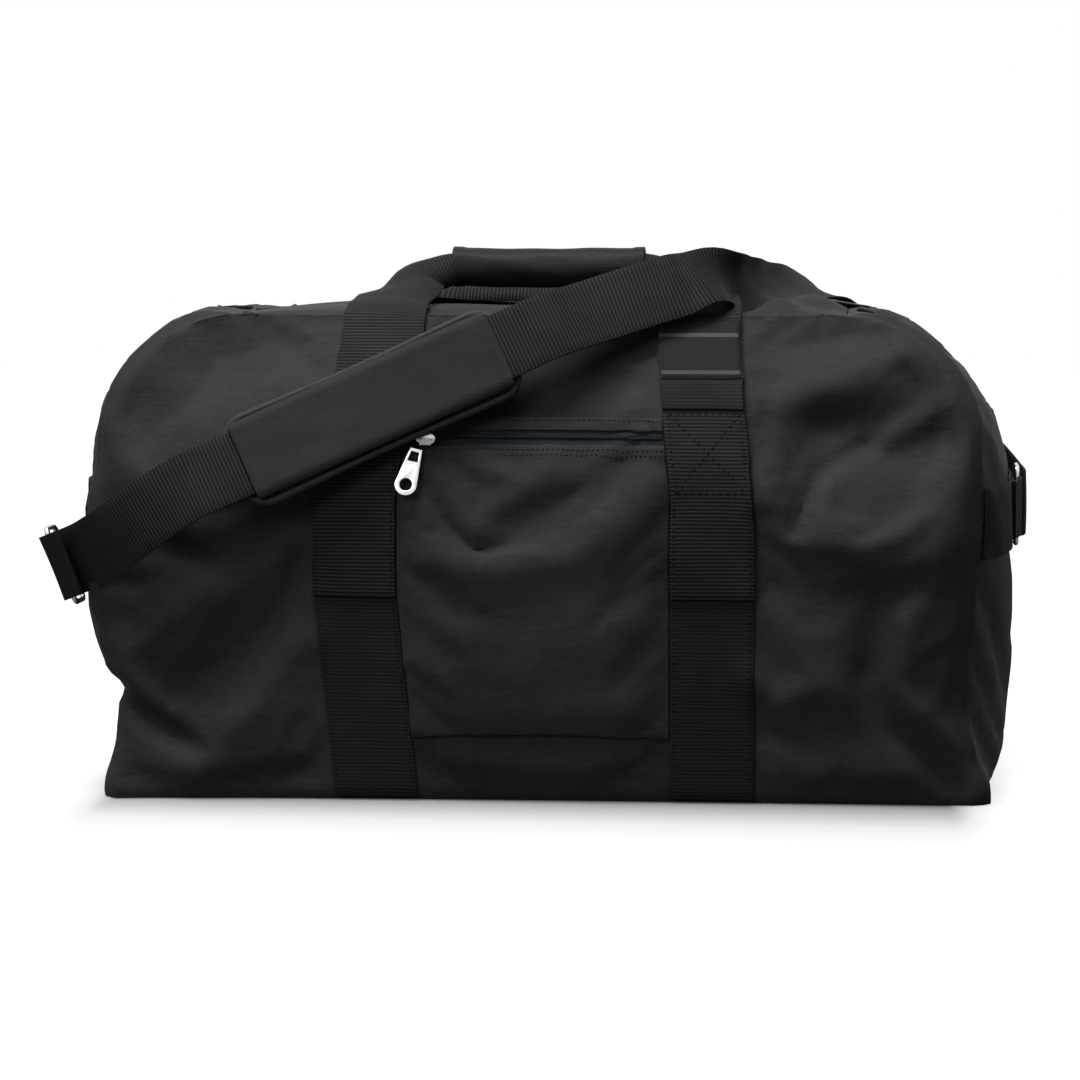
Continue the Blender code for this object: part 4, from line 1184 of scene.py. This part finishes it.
pocket_tape("pocket_tape_low", POCKET_ZIP - TAPE_EDGE - TAPE_WIDTH, POCKET_ZIP - TAPE_GAP,
            "pocket_zip_tape_lower")
pocket_tape("pocket_tape_high", POCKET_ZIP + TAPE_GAP, POCKET_ZIP + TAPE_EDGE + TAPE_WIDTH,
            "pocket_zip_tape_upper")
welt_rows = turned_rows(pocket_rows(WELT_LOW, WELT_HIGH, 0.0031, 6))
dress(band("pocket_welt", welt_rows, 0.0013, NYLON, 0.0004), "bag", "fabric")
zip_left, zip_right = pocket_sides(POCKET_ZIP)
coil_line = [on_face(lerp(zip_left + 0.001, zip_right - 0.001, step / 60), POCKET_ZIP, 0.0027)
             for step in range(61)]
pocket_coil = spiral("pocket_coil", *zip(*coil_line), 0.0009, 0.00042, 0.0014, ZIP_COIL)
dress(pocket_coil, "bag", "zip", "pocket_zip_coil")
print("pocket zip", round(zip_right - zip_left, 3), "m")

# %% [markdown]
# ## Top of the bag
# Two strips of nylon close the top, with the main zip between them. Their outer edges roll down into the
# front and back seams, and the stuffing pushes them up in between. They fold in when the zip is open.

# %% Top strips and main zip
TOP_HALF = 0.2244
STRIP_OUTER, STRIP_INNER = 0.1055, 0.0045
STRIP_WIDTH = 0.101
TAPE_Z = 0.3508
COIL_Y, COIL_Z = 0.0021, 0.3502
# Beside the strap the front strip is raised and dented: height, then place and reach along it and across.
STRIP_DENTS = ((0.0102, 0.200, 0.023, 0.062, 0.018), (0.0085, 0.176, 0.015, 0.024, 0.014),
               (-0.0105, 0.147, 0.013, 0.038, 0.020))


def strip_height(x, gap, side):
    """Height of a top strip by the distance from its outer seam: the strap dents the front one."""
    rise = 1.0 - math.exp(-(gap / 0.006) ** 2)
    share = min(gap / STRIP_WIDTH, 1.0)
    fill = 0.0060 * math.sin(math.pi * share) ** 0.6 * (1.0 - abs(x / TOP_HALF) ** 6)
    ripple = 0.0010 * noise.noise(Vector((x * 22.0, gap * 20.0, 3.0))) * math.sin(math.pi * share)
    bulge = 0.0
    if side < 0.0:
        for height, at_x, wide, at_gap, deep in STRIP_DENTS:
            bulge += height * math.exp(-((x - at_x) / wide) ** 2 - ((gap - at_gap) / deep) ** 2)
    return 0.3462 + 0.0029 * rise + fill + ripple + bulge


def strip_point(v, u, side):
    x = lerp(-TOP_HALF, TOP_HALF, v) * -side
    return Vector((x, side * lerp(STRIP_OUTER, STRIP_INNER, u), strip_height(x, STRIP_WIDTH * u, side)))


def tape_point(v, u, side):
    return Vector((lerp(-TOP_HALF, TOP_HALF, v) * -side, side * lerp(0.0165, 0.0036, u), TAPE_Z))


for face, side in (("front", -1.0), ("rear", 1.0)):
    body = f"top_{face}"
    rows = grid_rows(80, 22, lambda v, u, s=side: strip_point(v, u, s))
    dress(band(f"top_strip_{face}", rows, 0.0018, NYLON), body, "fabric", f"top_panel_{face}")
    rows = grid_rows(80, 4, lambda v, u, s=side: tape_point(v, u, s))
    dress(band(f"main_tape_{face}", rows, 0.0010, ZIP_TAPE, 0.0002), body, "zip", f"main_zip_tape_{face}")
    line = [Vector((lerp(-TOP_HALF + 0.002, TOP_HALF - 0.002, step / 8), side * COIL_Y, COIL_Z))
            for step in range(9)]
    coil = spiral(f"main_coil_{face}", line, [Vector((0, 0, 1))] * 9, 0.0012, 0.0005, 0.0017, ZIP_COIL)
    dress(coil, body, "zip", f"main_zip_coil_{face}")
print("main zip", round(2.0 * TOP_HALF, 3), "m")

# %% [markdown]
# ### Sliders and pulls
# A slider is a small shield-shaped plate with turned-down sides and a wire bridge that holds the pull. The
# pull is a stamped plate, so it is drawn as a flat outline with its holes and given a rounded edge.

# %% Sliders


def plate(name, outlines, thickness, bevel, matrix, finish):
    """A stamped plate: closed outlines in its own plane, inner ones are holes."""
    curve = bpy.data.curves.new(name, "CURVE")
    curve.dimensions = "2D"
    curve.fill_mode = "BOTH"
    curve.extrude = thickness / 2.0 - bevel
    curve.bevel_depth = bevel
    curve.bevel_resolution = 2
    curve.offset = -bevel
    for outline in outlines:
        spline = curve.splines.new("POLY")
        spline.points.add(len(outline) - 1)
        for target, (x, y) in zip(spline.points, outline):
            target.co = (x, y, 0.0, 1.0)
        spline.use_cyclic_u = True
    drawn = bpy.data.objects.new(name, curve)
    SCENE.collection.objects.link(drawn)
    graph = bpy.context.evaluated_depsgraph_get()
    mesh = bpy.data.meshes.new_from_object(drawn.evaluated_get(graph), depsgraph=graph)
    bpy.data.objects.remove(drawn)
    bpy.data.curves.remove(curve)
    weld = bmesh.new()
    weld.from_mesh(mesh)
    bmesh.ops.remove_doubles(weld, verts=weld.verts, dist=0.00002)
    bmesh.ops.recalc_face_normals(weld, faces=weld.faces)
    weld.to_mesh(mesh)
    weld.free()
    mesh.transform(matrix)
    mesh.materials.clear()
    mesh.materials.append(finish)
    smooth(mesh, 40.0)
    return place_mesh(name, mesh)


def arc(x, y, radius, start, end, steps):
    turns = [math.radians(lerp(start, end, step / steps)) for step in range(steps + 1)]
    return [(x + radius * math.cos(turn), y + radius * math.sin(turn)) for turn in turns]


def axes_matrix(along, across, up, place):
    return Matrix.Translation(place) @ Matrix((along, across, up)).transposed().to_4x4()


def slider(name, place, along, across, up, length, width, finish, node):
    """A shield plate, two turned-down sides and a wire bridge, joined into one piece."""
    half, wide = length / 2.0, width / 2.0
    shield = arc(half - wide * 0.8, 0.0, wide * 0.8, -70.0, 70.0, 8)
    shield += [(half * 0.15, wide), (-half * 0.55, wide * 0.86)]
    shield += arc(-half + wide * 0.55, 0.0, wide * 0.55, 110.0, 250.0, 8)
    shield += [(-half * 0.55, -wide * 0.86), (half * 0.15, -wide)]
    matrix = axes_matrix(along, across, up, place)
    top = plate(name, [shield], 0.0012, 0.0003, matrix @ Matrix.Translation((0.0, 0.0, 0.0010)), finish)
    parts = [top]
    for hand in (-1.0, 1.0):
        side = [(-half * 0.62, -0.0016), (half * 0.50, -0.0016), (half * 0.50, 0.0010),
                (-half * 0.62, 0.0010)]
        wall = Matrix.Translation((0.0, hand * wide * 0.92, 0.0)) @ Matrix.Rotation(math.pi / 2.0, 4, "X")
        parts.append(plate(f"{name}_side", [side], 0.0008, 0.0002, matrix @ wall, finish))
    bridge = [matrix @ Vector((half * 0.62 * math.cos(turn), 0.0, 0.0014 + 0.0028 * math.sin(turn) ** 0.6))
              for turn in [math.pi * step / 16 for step in range(17)]]
    parts.append(wire_tube(f"{name}_bridge", bridge, 0.0007, finish, 8))
    joined = bmesh.new()
    for part in parts:
        joined.from_mesh(part.data)
    joined.to_mesh(top.data)
    joined.free()
    for part in parts[1:]:
        bpy.data.objects.remove(part)
    return dress(top, node, "steel", node)


X_AXIS, Y_AXIS, Z_AXIS = Vector((1, 0, 0)), Vector((0, 1, 0)), Vector((0, 0, 1))
low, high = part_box("main_slider")
slider("main_zip_slider", (low + high) / 2.0, X_AXIS, Y_AXIS, Z_AXIS, 0.022, 0.009, BLACK_STEEL,
       "main_slider")
low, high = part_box("pocket_slider")
slider("pocket_zip_slider", (low + high) / 2.0, X_AXIS, Z_AXIS, -Y_AXIS, 0.014, 0.009, STEEL, "pocket_slider")
print("sliders 2")

# %% Pulls
PULL_THICKNESS, PULL_BEVEL = 0.0016, 0.0004
POCKET_PULL_OUT, POCKET_PULL_TURN = math.radians(16.0), math.radians(15.0)
MAIN_PULL_DROP = math.radians(9.0)
JOINT_AT = {joint["name"]: Vector(joint["pos_m"]) for joint in frame["record"]["behaviour"]["joints"]
            if "pos_m" in joint}


def pull(name, outlines, turn, finish, node):
    """A pull hung at the place of its joint, and turned there."""
    matrix = Matrix.Translation(JOINT_AT[f"{node}_lift"]) @ turn
    dress(plate(name, outlines, PULL_THICKNESS, PULL_BEVEL, matrix, finish), node, "steel", node)


tag = [(0.0045, 0.0012), (-0.0045, 0.0012)] + arc(0.0, -0.026, 0.008, 180.0, 360.0, 24)
tag_slot = [(0.0028, -0.0014), (-0.0028, -0.0014), (-0.0038, -0.0085), (0.0038, -0.0085)]
tag_hole = arc(0.0, -0.026, 0.0045, 0.0, 345.0, 23)
hang = Euler((math.pi / 2.0 - POCKET_PULL_OUT, POCKET_PULL_TURN, 0.0)).to_matrix().to_4x4()
pull("pocket_zip_pull", [tag, tag_slot, tag_hole], hang, STEEL, "pocket_pull")
bar_tag = [(-0.0012, 0.0035), (-0.0012, -0.0035), (0.010, -0.005)] + arc(0.025, 0.0, 0.005, -90.0, 90.0, 16)
bar_tag += [(0.010, 0.005)]
bar_slot = [(0.0012, 0.0018), (0.0012, -0.0018), (0.0070, -0.0026), (0.0070, 0.0026)]
bar_hole = arc(0.025, 0.0, 0.0027, 0.0, 337.5, 15)
lie = Matrix.Rotation(MAIN_PULL_DROP, 4, "Y")
pull("main_zip_pull", [bar_tag, bar_slot, bar_hole], lie, BLACK_STEEL, "main_pull")
print("pulls 2")

# %% [markdown]
# ## Ends
# A webbing band runs across each end of the bag. A short tab is sewn to it, folded round a bright wire ring,
# and the shoulder strap loops through the other side of the ring.

# %% End bands, zip tabs
BAND_LOW, BAND_HIGH = 0.177, 0.228
BAND_HALF = 0.1475
BAND_LIFT = 0.0017
ZIP_TAB_HALF = 0.013


def end_band_point(v, u, side):
    return on_end(lerp(-BAND_HALF, BAND_HALF, v) * side, lerp(BAND_LOW, BAND_HIGH, u), BAND_LIFT, side)[0]


def zip_tab_point(v, u, side, near, far):
    return on_top(lerp(near, far, v), lerp(-ZIP_TAB_HALF, ZIP_TAB_HALF, u) * side, BAND_LIFT)[0]


def sew_on(name, rows, node):
    dress(band(name, rows, WEBBING_THICKNESS, BAG_WEBBING), "bag", "webbing", node)


for hand, side in (("right", 1.0), ("left", -1.0)):
    rows = grid_rows(60, 8, lambda v, u, s=side: end_band_point(v, u, s))
    sew_on(f"band_{hand}", rows, f"end_band_{hand}")
    low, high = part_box(f"zip_end_tab_{hand}")
    ends = (low.x, high.x) if side > 0.0 else (high.x, low.x)
    rows = grid_rows(12, 8, lambda v, u, s=side, e=ends: zip_tab_point(v, u, s, *e))
    sew_on(f"zip_tab_{hand}", rows, f"zip_end_tab_{hand}")
print("bands 2, zip tabs 2")

# %% Rings and their tabs
RING_WIRE = 0.0020
RING_LENGTH = 0.026
RING_CORNER = 0.004
RING_TILT = math.radians(22.0)
RING_HOME = {-1.0: JOINT_AT["strap_ring_left_tilt"], 1.0: JOINT_AT["strap_ring_right_tilt"]}
TAB_ROOT = {-1.0: Vector((-0.3440, -0.066, 0.180)), 1.0: Vector((0.3500, -0.026, 0.203))}
TAB_WIDTH = 0.044
TAB_RADIUS = RING_WIRE + 0.0013


def ring_axes(side):
    """Direction of a ring's bars, and the way from its held bar to the strap."""
    tilt = RING_TILT if side < 0.0 else 0.0
    return Vector((math.sin(tilt), 0.0, -math.cos(tilt))), Vector((0.0, side, 0.0))


def ring_path(home, bar, along):
    """The wire's centre line: four rounded corners, with points along the straights too."""
    flat = []
    for x, y, start in ((0.025, 0.022, 0.0), (-0.025, 0.022, 90.0), (-0.025, 0.004, 180.0),
                        (0.025, 0.004, 270.0)):
        flat += arc(x, y, RING_CORNER, start, start + 90.0, 7)
    path = []
    for (x0, y0), (x1, y1) in zip(flat, flat[1:] + flat[:1]):
        steps = 1 if math.hypot(x1 - x0, y1 - y0) < 0.002 else 8
        path += [home + bar * lerp(x0, x1, k / steps) + along * lerp(y0, y1, k / steps) for k in range(steps)]
    return path


def looks_round(bar, route):
    """Facings of a band that keeps parallel to a bar along its route."""
    last = len(route) - 1
    return [bar.cross(route[min(i + 1, last)] - route[max(i - 1, 0)]).normalized() for i in range(last + 1)]


def tab_route(home, bar, side):
    """From the end band under the ring's held bar, round it and back over itself."""
    lead = home - TAB_ROOT[side]
    lead -= bar * lead.dot(bar)
    ahead = lead.normalized()
    out = bar.cross(ahead) * side
    base, normal = on_end((home - lead).y - ahead.y * 0.012, (home - lead).z, 0.0036, side)
    under = [base, home - lead * 0.8 - out * 0.0016, home - lead * 0.35 - out * TAB_RADIUS]
    over = [home - lead * 0.35 + out * TAB_RADIUS, home - lead * 0.8 + out * 0.0012, base + normal * 0.0019]
    angles = [math.pi * k / 10 for k in range(11)]
    turn = [home - out * TAB_RADIUS * math.cos(angle) + ahead * TAB_RADIUS * math.sin(angle)
            for angle in angles]
    return smooth_route(under + turn + over, 3)


for hand, side in (("left", -1.0), ("right", 1.0)):
    bar, along = ring_axes(side)
    home = RING_HOME[side]
    ring = wire_tube(f"ring_{hand}", ring_path(home, bar, along), RING_WIRE, STEEL, 14, closed=True)
    dress(ring, f"strap_ring_{hand}", "steel", f"strap_ring_{hand}")
    route = tab_route(home, bar, side)
    count = len(route)
    rows = section_rows(route, looks_round(bar, route), [TAB_WIDTH] * count, [0.0] * count, columns=8)
    dress(band(f"tab_{hand}", rows, 0.0015, WEBBING), "bag", "webbing", f"end_tab_{hand}")
print("rings 2, tabs 2")

# %% [markdown]
# ## Shoulder strap
# The strap is one band of webbing. It starts in a loop through the left ring, crosses the front under its
# pad, climbs over the right leg of the handle and drops behind the bag to the right ring. It is made in
# two lengths that meet on top of the handle, where the middle would move with the handle and both ends
# stay with the bag; here both lengths stay fixed in place.

# %% Route of the strap
STRAP_WIDTH = 0.050
STRAP_THICKNESS = 0.0020
STRAP_LOOP = 0.0064
STRAP_LEAD = 0.014
PAD_LOW_END = Vector((-0.215, -0.197, 0.241))
PAD_HIGH_END = Vector((-0.010, -0.160, 0.333))
PAD_FACING = Vector((0.0, -0.95, 0.31))
PAD_RUN = (PAD_HIGH_END - PAD_LOW_END).normalized()
PAD_LEAD = 0.025
STRAP_CORNER = Vector((-0.316, -0.1715, 0.180))
STRAP_FAR_CORNER = Vector((0.3560, 0.072, 0.205))


def ring_loop(side, towards):
    """Points and facings of the strap's turn round the far bar of a ring, ending on its way out."""
    bar, along = ring_axes(side)
    bar = bar * -side
    near = RING_HOME[side] + along * RING_LENGTH
    leave = towards - near
    leave = (leave - bar * leave.dot(bar)).normalized()
    back = bar.cross(leave).normalized()
    route = [near + leave * 0.020 + back * STRAP_LOOP]
    for step in range(13):
        turn = math.pi * step / 12
        route.append(near + back * (STRAP_LOOP * math.cos(turn)) - leave * (STRAP_LOOP * math.sin(turn)))
    return route, looks_round(bar, route), leave


loop, loop_looks, leave = ring_loop(-1.0, STRAP_CORNER)
far_loop, far_looks, far_leave = ring_loop(1.0, STRAP_FAR_CORNER)
far_looks = [-look for look in far_looks]
low_points = [loop[-1], loop[-1] + leave * STRAP_LEAD, STRAP_CORNER, PAD_LOW_END - PAD_RUN * PAD_LEAD,
              PAD_LOW_END, PAD_HIGH_END, PAD_HIGH_END + PAD_RUN * PAD_LEAD]
low_points += vectors((0.042, -0.139, 0.3525), (0.0735, -0.130, 0.3628), (0.1016, -0.1225, 0.3714),
                      (0.118, -0.1135, 0.3765))
low_looks = [loop_looks[-1], loop_looks[-1], Vector((-0.2, -0.97, -0.08))] + [PAD_FACING] * 4
low_looks += vectors((0.0, -0.93, 0.37), (0.05, -0.92, 0.39), (0.10, -0.92, 0.40), (0.32, -0.66, 0.68))
high_points = vectors((0.141, -0.066, 0.3704), (0.158, -0.022, 0.3672), (0.178, 0.035, 0.3650),
                      (0.206, 0.105, 0.3608), (0.256, 0.166, 0.305), (0.308, 0.169, 0.255),
                      (0.3435, 0.118, 0.220))
high_points += [far_loop[-1] + far_leave * STRAP_LEAD, far_loop[-1]]
high_looks = vectors((0.80, -0.56, 0.16), (0.62, -0.50, 0.60), (0.50, -0.36, 0.78), (0.45, 0.05, 0.89),
                     (0.35, 0.75, 0.55), (0.60, 0.75, 0.20), (0.95, 0.30, 0.00))
high_looks += [far_looks[-1], far_looks[-1]]
print("strap points", len(low_points) + len(high_points))

# %% Strap bands
STRAP_STEPS = 8
STRAP_CURLS = [-0.1, -1.3, -2.0, -1.5, -0.7]
curls = [0.0] * (len(low_points) - 1) + STRAP_CURLS + [0.0] * (len(high_points) - 4)
tail, tail_looks = far_loop[:-1][::-1], far_looks[:-1][::-1]
route = loop[:-1] + smooth_route(low_points + high_points, STRAP_STEPS) + tail
faces = loop_looks[:-1] + spread_values(low_looks + high_looks, STRAP_STEPS) + tail_looks
bends = [0.0] * (len(loop) - 1) + spread_values(curls, STRAP_STEPS) + [0.0] * len(tail)
rows = section_rows(route, faces, [STRAP_WIDTH] * len(route), bends, columns=8, camber=0.0006)
crest = len(loop) - 1 + STRAP_STEPS * (len(low_points) - 1)
strap_low = band("strap_front", rows[:crest + 1], STRAP_THICKNESS, WEBBING)
swing(strap_low, "bag", "front_handle", (0.0735, -0.130, 0.3628), (0.1175, -0.114, 0.3763), "webbing",
      "shoulder_strap_lower", "shoulder_strap_upper", "shoulder_strap_crest")
strap_high = band("strap_back", rows[crest:], STRAP_THICKNESS, WEBBING)
swing(strap_high, "front_handle", "bag", (0.119, -0.1125, 0.3766), (0.158, -0.026, 0.3740), "webbing",
      "shoulder_strap_rear", "shoulder_strap_crest")
print("strap", round(sum((b - a).length for a, b in zip(route, route[1:])), 3), "m long")

# %% [markdown]
# ### Shoulder pad
# The pad is a thin cushion that the strap runs over, with a bound edge and a sleeve of cloth on top. It
# starts as two sheets that share their edge, drawn in a little at the waist, and a short cloth run fills
# it. The binding and the sleeve come after that, because they are sewn over the filled pad.

# %% Pad cushion
PAD_HALF_LENGTH = 0.1055
PAD_HALF_WIDTH = 0.0335
PAD_HALF_THICK = 0.0046
PAD_CORNER = 0.016
PAD_FRAMES = 10
PAD_LONG = spread(44)
PAD_CROSS = spread(12)
pad_across = PAD_FACING.cross(PAD_RUN).normalized()
pad_facing = PAD_RUN.cross(pad_across).normalized()
pad_middle = (PAD_LOW_END + PAD_HIGH_END) / 2.0
PAD_CENTRE = pad_middle - pad_facing * (0.0016 + PAD_HALF_THICK)


def pad_place(along, across, up):
    return PAD_CENTRE + PAD_RUN * along + pad_across * across + pad_facing * up


def pad_outline(u, v):
    """A unit square drawn onto the pad's outline: round corners, sides drawn in at the waist."""
    long_part = max(abs(u) * PAD_HALF_LENGTH - (PAD_HALF_LENGTH - PAD_CORNER), 0.0)
    narrow = PAD_CORNER - math.sqrt(max(PAD_CORNER ** 2 - long_part ** 2, 0.0))
    waist = 1.0 - 0.05 * math.cos(u * math.pi / 2.0) ** 2
    return u * PAD_HALF_LENGTH, v * (PAD_HALF_WIDTH * waist - narrow)


def pad_point(u, v, layer):
    """A point of the upper (layer 1) or lower (layer -1) sheet."""
    along, across = pad_outline(u, v)
    crown = (1.0 - abs(u) ** 8) ** 0.5 * (1.0 - abs(v) ** 4) ** 0.5
    return pad_place(along, across, layer * PAD_HALF_THICK * 0.92 * crown)


def hold_rim(u, v):
    return 1.0 if max(abs(u), abs(v)) > 0.985 else 0.0


pad_mesh = bmesh.new()
pad_held = pad_mesh.verts.layers.float.new("held")
for layer in (-1.0, 1.0):
    add_grid(pad_mesh, pad_held, lambda u, v, s=layer: pad_point(u, v, s), PAD_LONG, PAD_CROSS, layer < 0.0,
             hold_rim)
bmesh.ops.remove_doubles(pad_mesh, verts=pad_mesh.verts, dist=0.00005)
bmesh.ops.recalc_face_normals(pad_mesh, faces=pad_mesh.faces)
pad = place_work("pad_cushion", pad_mesh)
moved = relax_cloth(pad, 0.8, 0.004, 0.0012, PAD_FRAMES)
pad.modifiers.new("Subdivision", "SUBSURF").levels = 1
bake(pad)
pad.data.materials.append(PAD_CLOTH)
smooth(pad.data)
dress(pad, "shoulder_pad", "pad", "shoulder_pad")
print("pad moved up to", round(moved * 1000.0, 2), "mm")

# %% Pad binding and sleeve
BINDING_RADIUS, BINDING_STEP = 0.0027, 0.0012
SLEEVE_HALF_LENGTH = 0.100
SLEEVE_HALF_WIDTH = 0.030


def sleeve_point(v, u):
    """A point of the sleeve, which stands over the strap and drops to the pad along both sides."""
    along = lerp(-SLEEVE_HALF_LENGTH, SLEEVE_HALF_LENGTH, v)
    across = lerp(-SLEEVE_HALF_WIDTH, SLEEVE_HALF_WIDTH, u)
    hem = 0.0008 * (1.0 - clamp((SLEEVE_HALF_LENGTH - abs(along) - 0.0055) / 0.001))
    drop = clamp((abs(across) - 0.0262) / 0.0034)
    lift = lerp(0.0040, 0.0016, ease(drop)) + hem
    soft = 0.0005 * noise.noise(Vector((along * 40.0, across * 60.0, 1.0)))
    return pad_place(along, across, PAD_HALF_THICK + lift + soft)


edge_line = [(u, -1.0) for u in PAD_LONG] + [(1.0, v) for v in PAD_CROSS[1:]]
edge_line += [(u, 1.0) for u in reversed(PAD_LONG[:-1])] + [(-1.0, v) for v in reversed(PAD_CROSS[1:-1])]
binding_path = []
for u, v in edge_line:
    place = pad_place(*pad_outline(u, v), 0.0)
    if not binding_path or (place - binding_path[-1]).length > BINDING_STEP:
        binding_path.append(place)
binding = wire_tube("pad_binding", binding_path, BINDING_RADIUS, BINDING, 10, closed=True)
dress(binding, "shoulder_pad", "pad")
rows = [row[::-1] for row in grid_rows(80, 24, sleeve_point)]
sleeve = band("pad_sleeve_cloth", rows, 0.0011, PAD_CLOTH, 0.0003)
dress(sleeve, "shoulder_pad", "pad", "pad_sleeve")
print("sleeve", 2.0 * SLEEVE_HALF_LENGTH, "by", 2.0 * SLEEVE_HALF_WIDTH, "m")

# %% [markdown]
# ## Stitching
# Every seam is held by thread. A bump map would vanish close up, so each stitch is a small rounded bar that
# lies on the cloth, and each row of them follows the surface it is sewn to.

# %% Stitches


def stitch_rows(name, lines, body, slot, length, gap, thick):
    """One piece of thread work from many lines of (point, normal) pairs."""
    work = bmesh.new()
    count = 0
    for line in lines:
        run, target = 0.0, length / 2.0
        for (start, normal), (end, after) in zip(line, line[1:]):
            span = (end - start).length
            while span > 0.0 and target <= run + span:
                share = (target - run) / span
                centre = start.lerp(end, share)
                along = (end - start).normalized() * (length / 2.0)
                up = normal.lerp(after, share).normalized()
                side = along.normalized().cross(up) * thick
                tips = [centre - along - up * thick * 0.3, centre + along - up * thick * 0.3]
                ring = [centre + side, centre + up * thick * 1.3, centre - side, centre - up * thick]
                verts = [work.verts.new(place) for place in tips + ring]
                for k in range(4):
                    work.faces.new([verts[0], verts[2 + (k + 1) % 4], verts[2 + k]])
                    work.faces.new([verts[1], verts[2 + k], verts[2 + (k + 1) % 4]])
                count += 1
                target += length + gap
            run += span
    bmesh.ops.recalc_face_normals(work, faces=work.faces)
    item = place_work(name, work)
    item.data.materials.append(THREAD_WITH_PAINTED_SHADE)
    smooth(item.data)
    dress(item, body, slot)
    return count


def face_line(corners, lift, side=-1.0, step=0.004):
    """A line over the skin through corners given as (x, z)."""
    line = []
    for (x0, z0), (x1, z1) in zip(corners, corners[1:]):
        steps = max(int(math.hypot(x1 - x0, z1 - z0) / step), 1)
        line += [on_face(lerp(x0, x1, k / steps), lerp(z0, z1, k / steps), lift, side) for k in range(steps)]
    return line + [on_face(*corners[-1], lift, side)]


BOX_HALF, BOX_LOW, BOX_HIGH = 0.026, 0.225, 0.279
EDGE_INSET = 0.0272


def web_line(corners, lift, hand, side):
    """A line of stitches through corners given as (offset across the webbing, height)."""
    return face_line([(web_centre(hand, z) + offset, z) for offset, z in corners], lift, side)


box_corners = [(-BOX_HALF, BOX_LOW), (BOX_HALF, BOX_LOW), (BOX_HALF, BOX_HIGH), (-BOX_HALF, BOX_HIGH)]
on_handle, on_webbing = HANDLE_LIFT + 0.0001, WEBBING_LIFT + 0.0001
web_lines = [(box_corners + box_corners[:1], on_handle), (box_corners[0::2], on_handle),
             (box_corners[3::-2], on_handle), ([(-EDGE_INSET, 0.1525), (EDGE_INSET, 0.1525)], on_handle)]
for offset in (-EDGE_INSET, EDGE_INSET):
    web_lines.append(([(offset, 0.153), (offset, 0.222)], on_handle))
    web_lines.append(([(offset, z) for z in (0.008, 0.04, 0.075, 0.11, 0.146)], on_webbing))
total = 0
for face, side in (("front", -1.0), ("back", 1.0)):
    lines = [web_line(corners, lift, hand, side) for hand in WEB_X for corners, lift in web_lines]
    total += stitch_rows(f"webbing_stitches_{face}", lines, "bag", "webbing", 0.0034, 0.0016, 0.0007)
print("webbing stitches", total)

# %% Pocket, label and pad stitches
LABEL_INSET = 0.0016
lines = []
for z, lift in ((0.2535, 0.0046), (0.2495, 0.0046), (0.2742, 0.0039)):
    left, right = pocket_sides(z)
    lines.append(face_line([(left, z), (right, z)], lift))
count = stitch_rows("pocket_stitches", lines, "bag", "fabric", 0.0024, 0.0012, 0.0004)
low, high = LABEL_LOW + LABEL_INSET, LABEL_HIGH - LABEL_INSET
corners = [(-1.0, low), (1.0, low), (1.0, high), (-1.0, high), (-1.0, low)]
corners = [(web_centre(1.0, z) + hand * (LABEL_HALF - LABEL_INSET), z) for hand, z in corners]
lines = [face_line(corners, 0.0072)]
count += stitch_rows("label_stitches", lines, "bag", "label", 0.0020, 0.0010, 0.00025)
lines = []
for across in (-0.0288, 0.0288):
    lines.append([(pad_place(lerp(-0.097, 0.097, k / 40), across, PAD_HALF_THICK + 0.0023), pad_facing)
                  for k in range(41)])
for along in (-0.0950, 0.0950):
    lines.append([(pad_place(along, lerp(-0.025, 0.025, k / 12), PAD_HALF_THICK + 0.0047), pad_facing)
                  for k in range(13)])
count += stitch_rows("pad_stitches", lines, "shoulder_pad", "pad", 0.0026, 0.0014, 0.0003)
print("fine stitches", count)
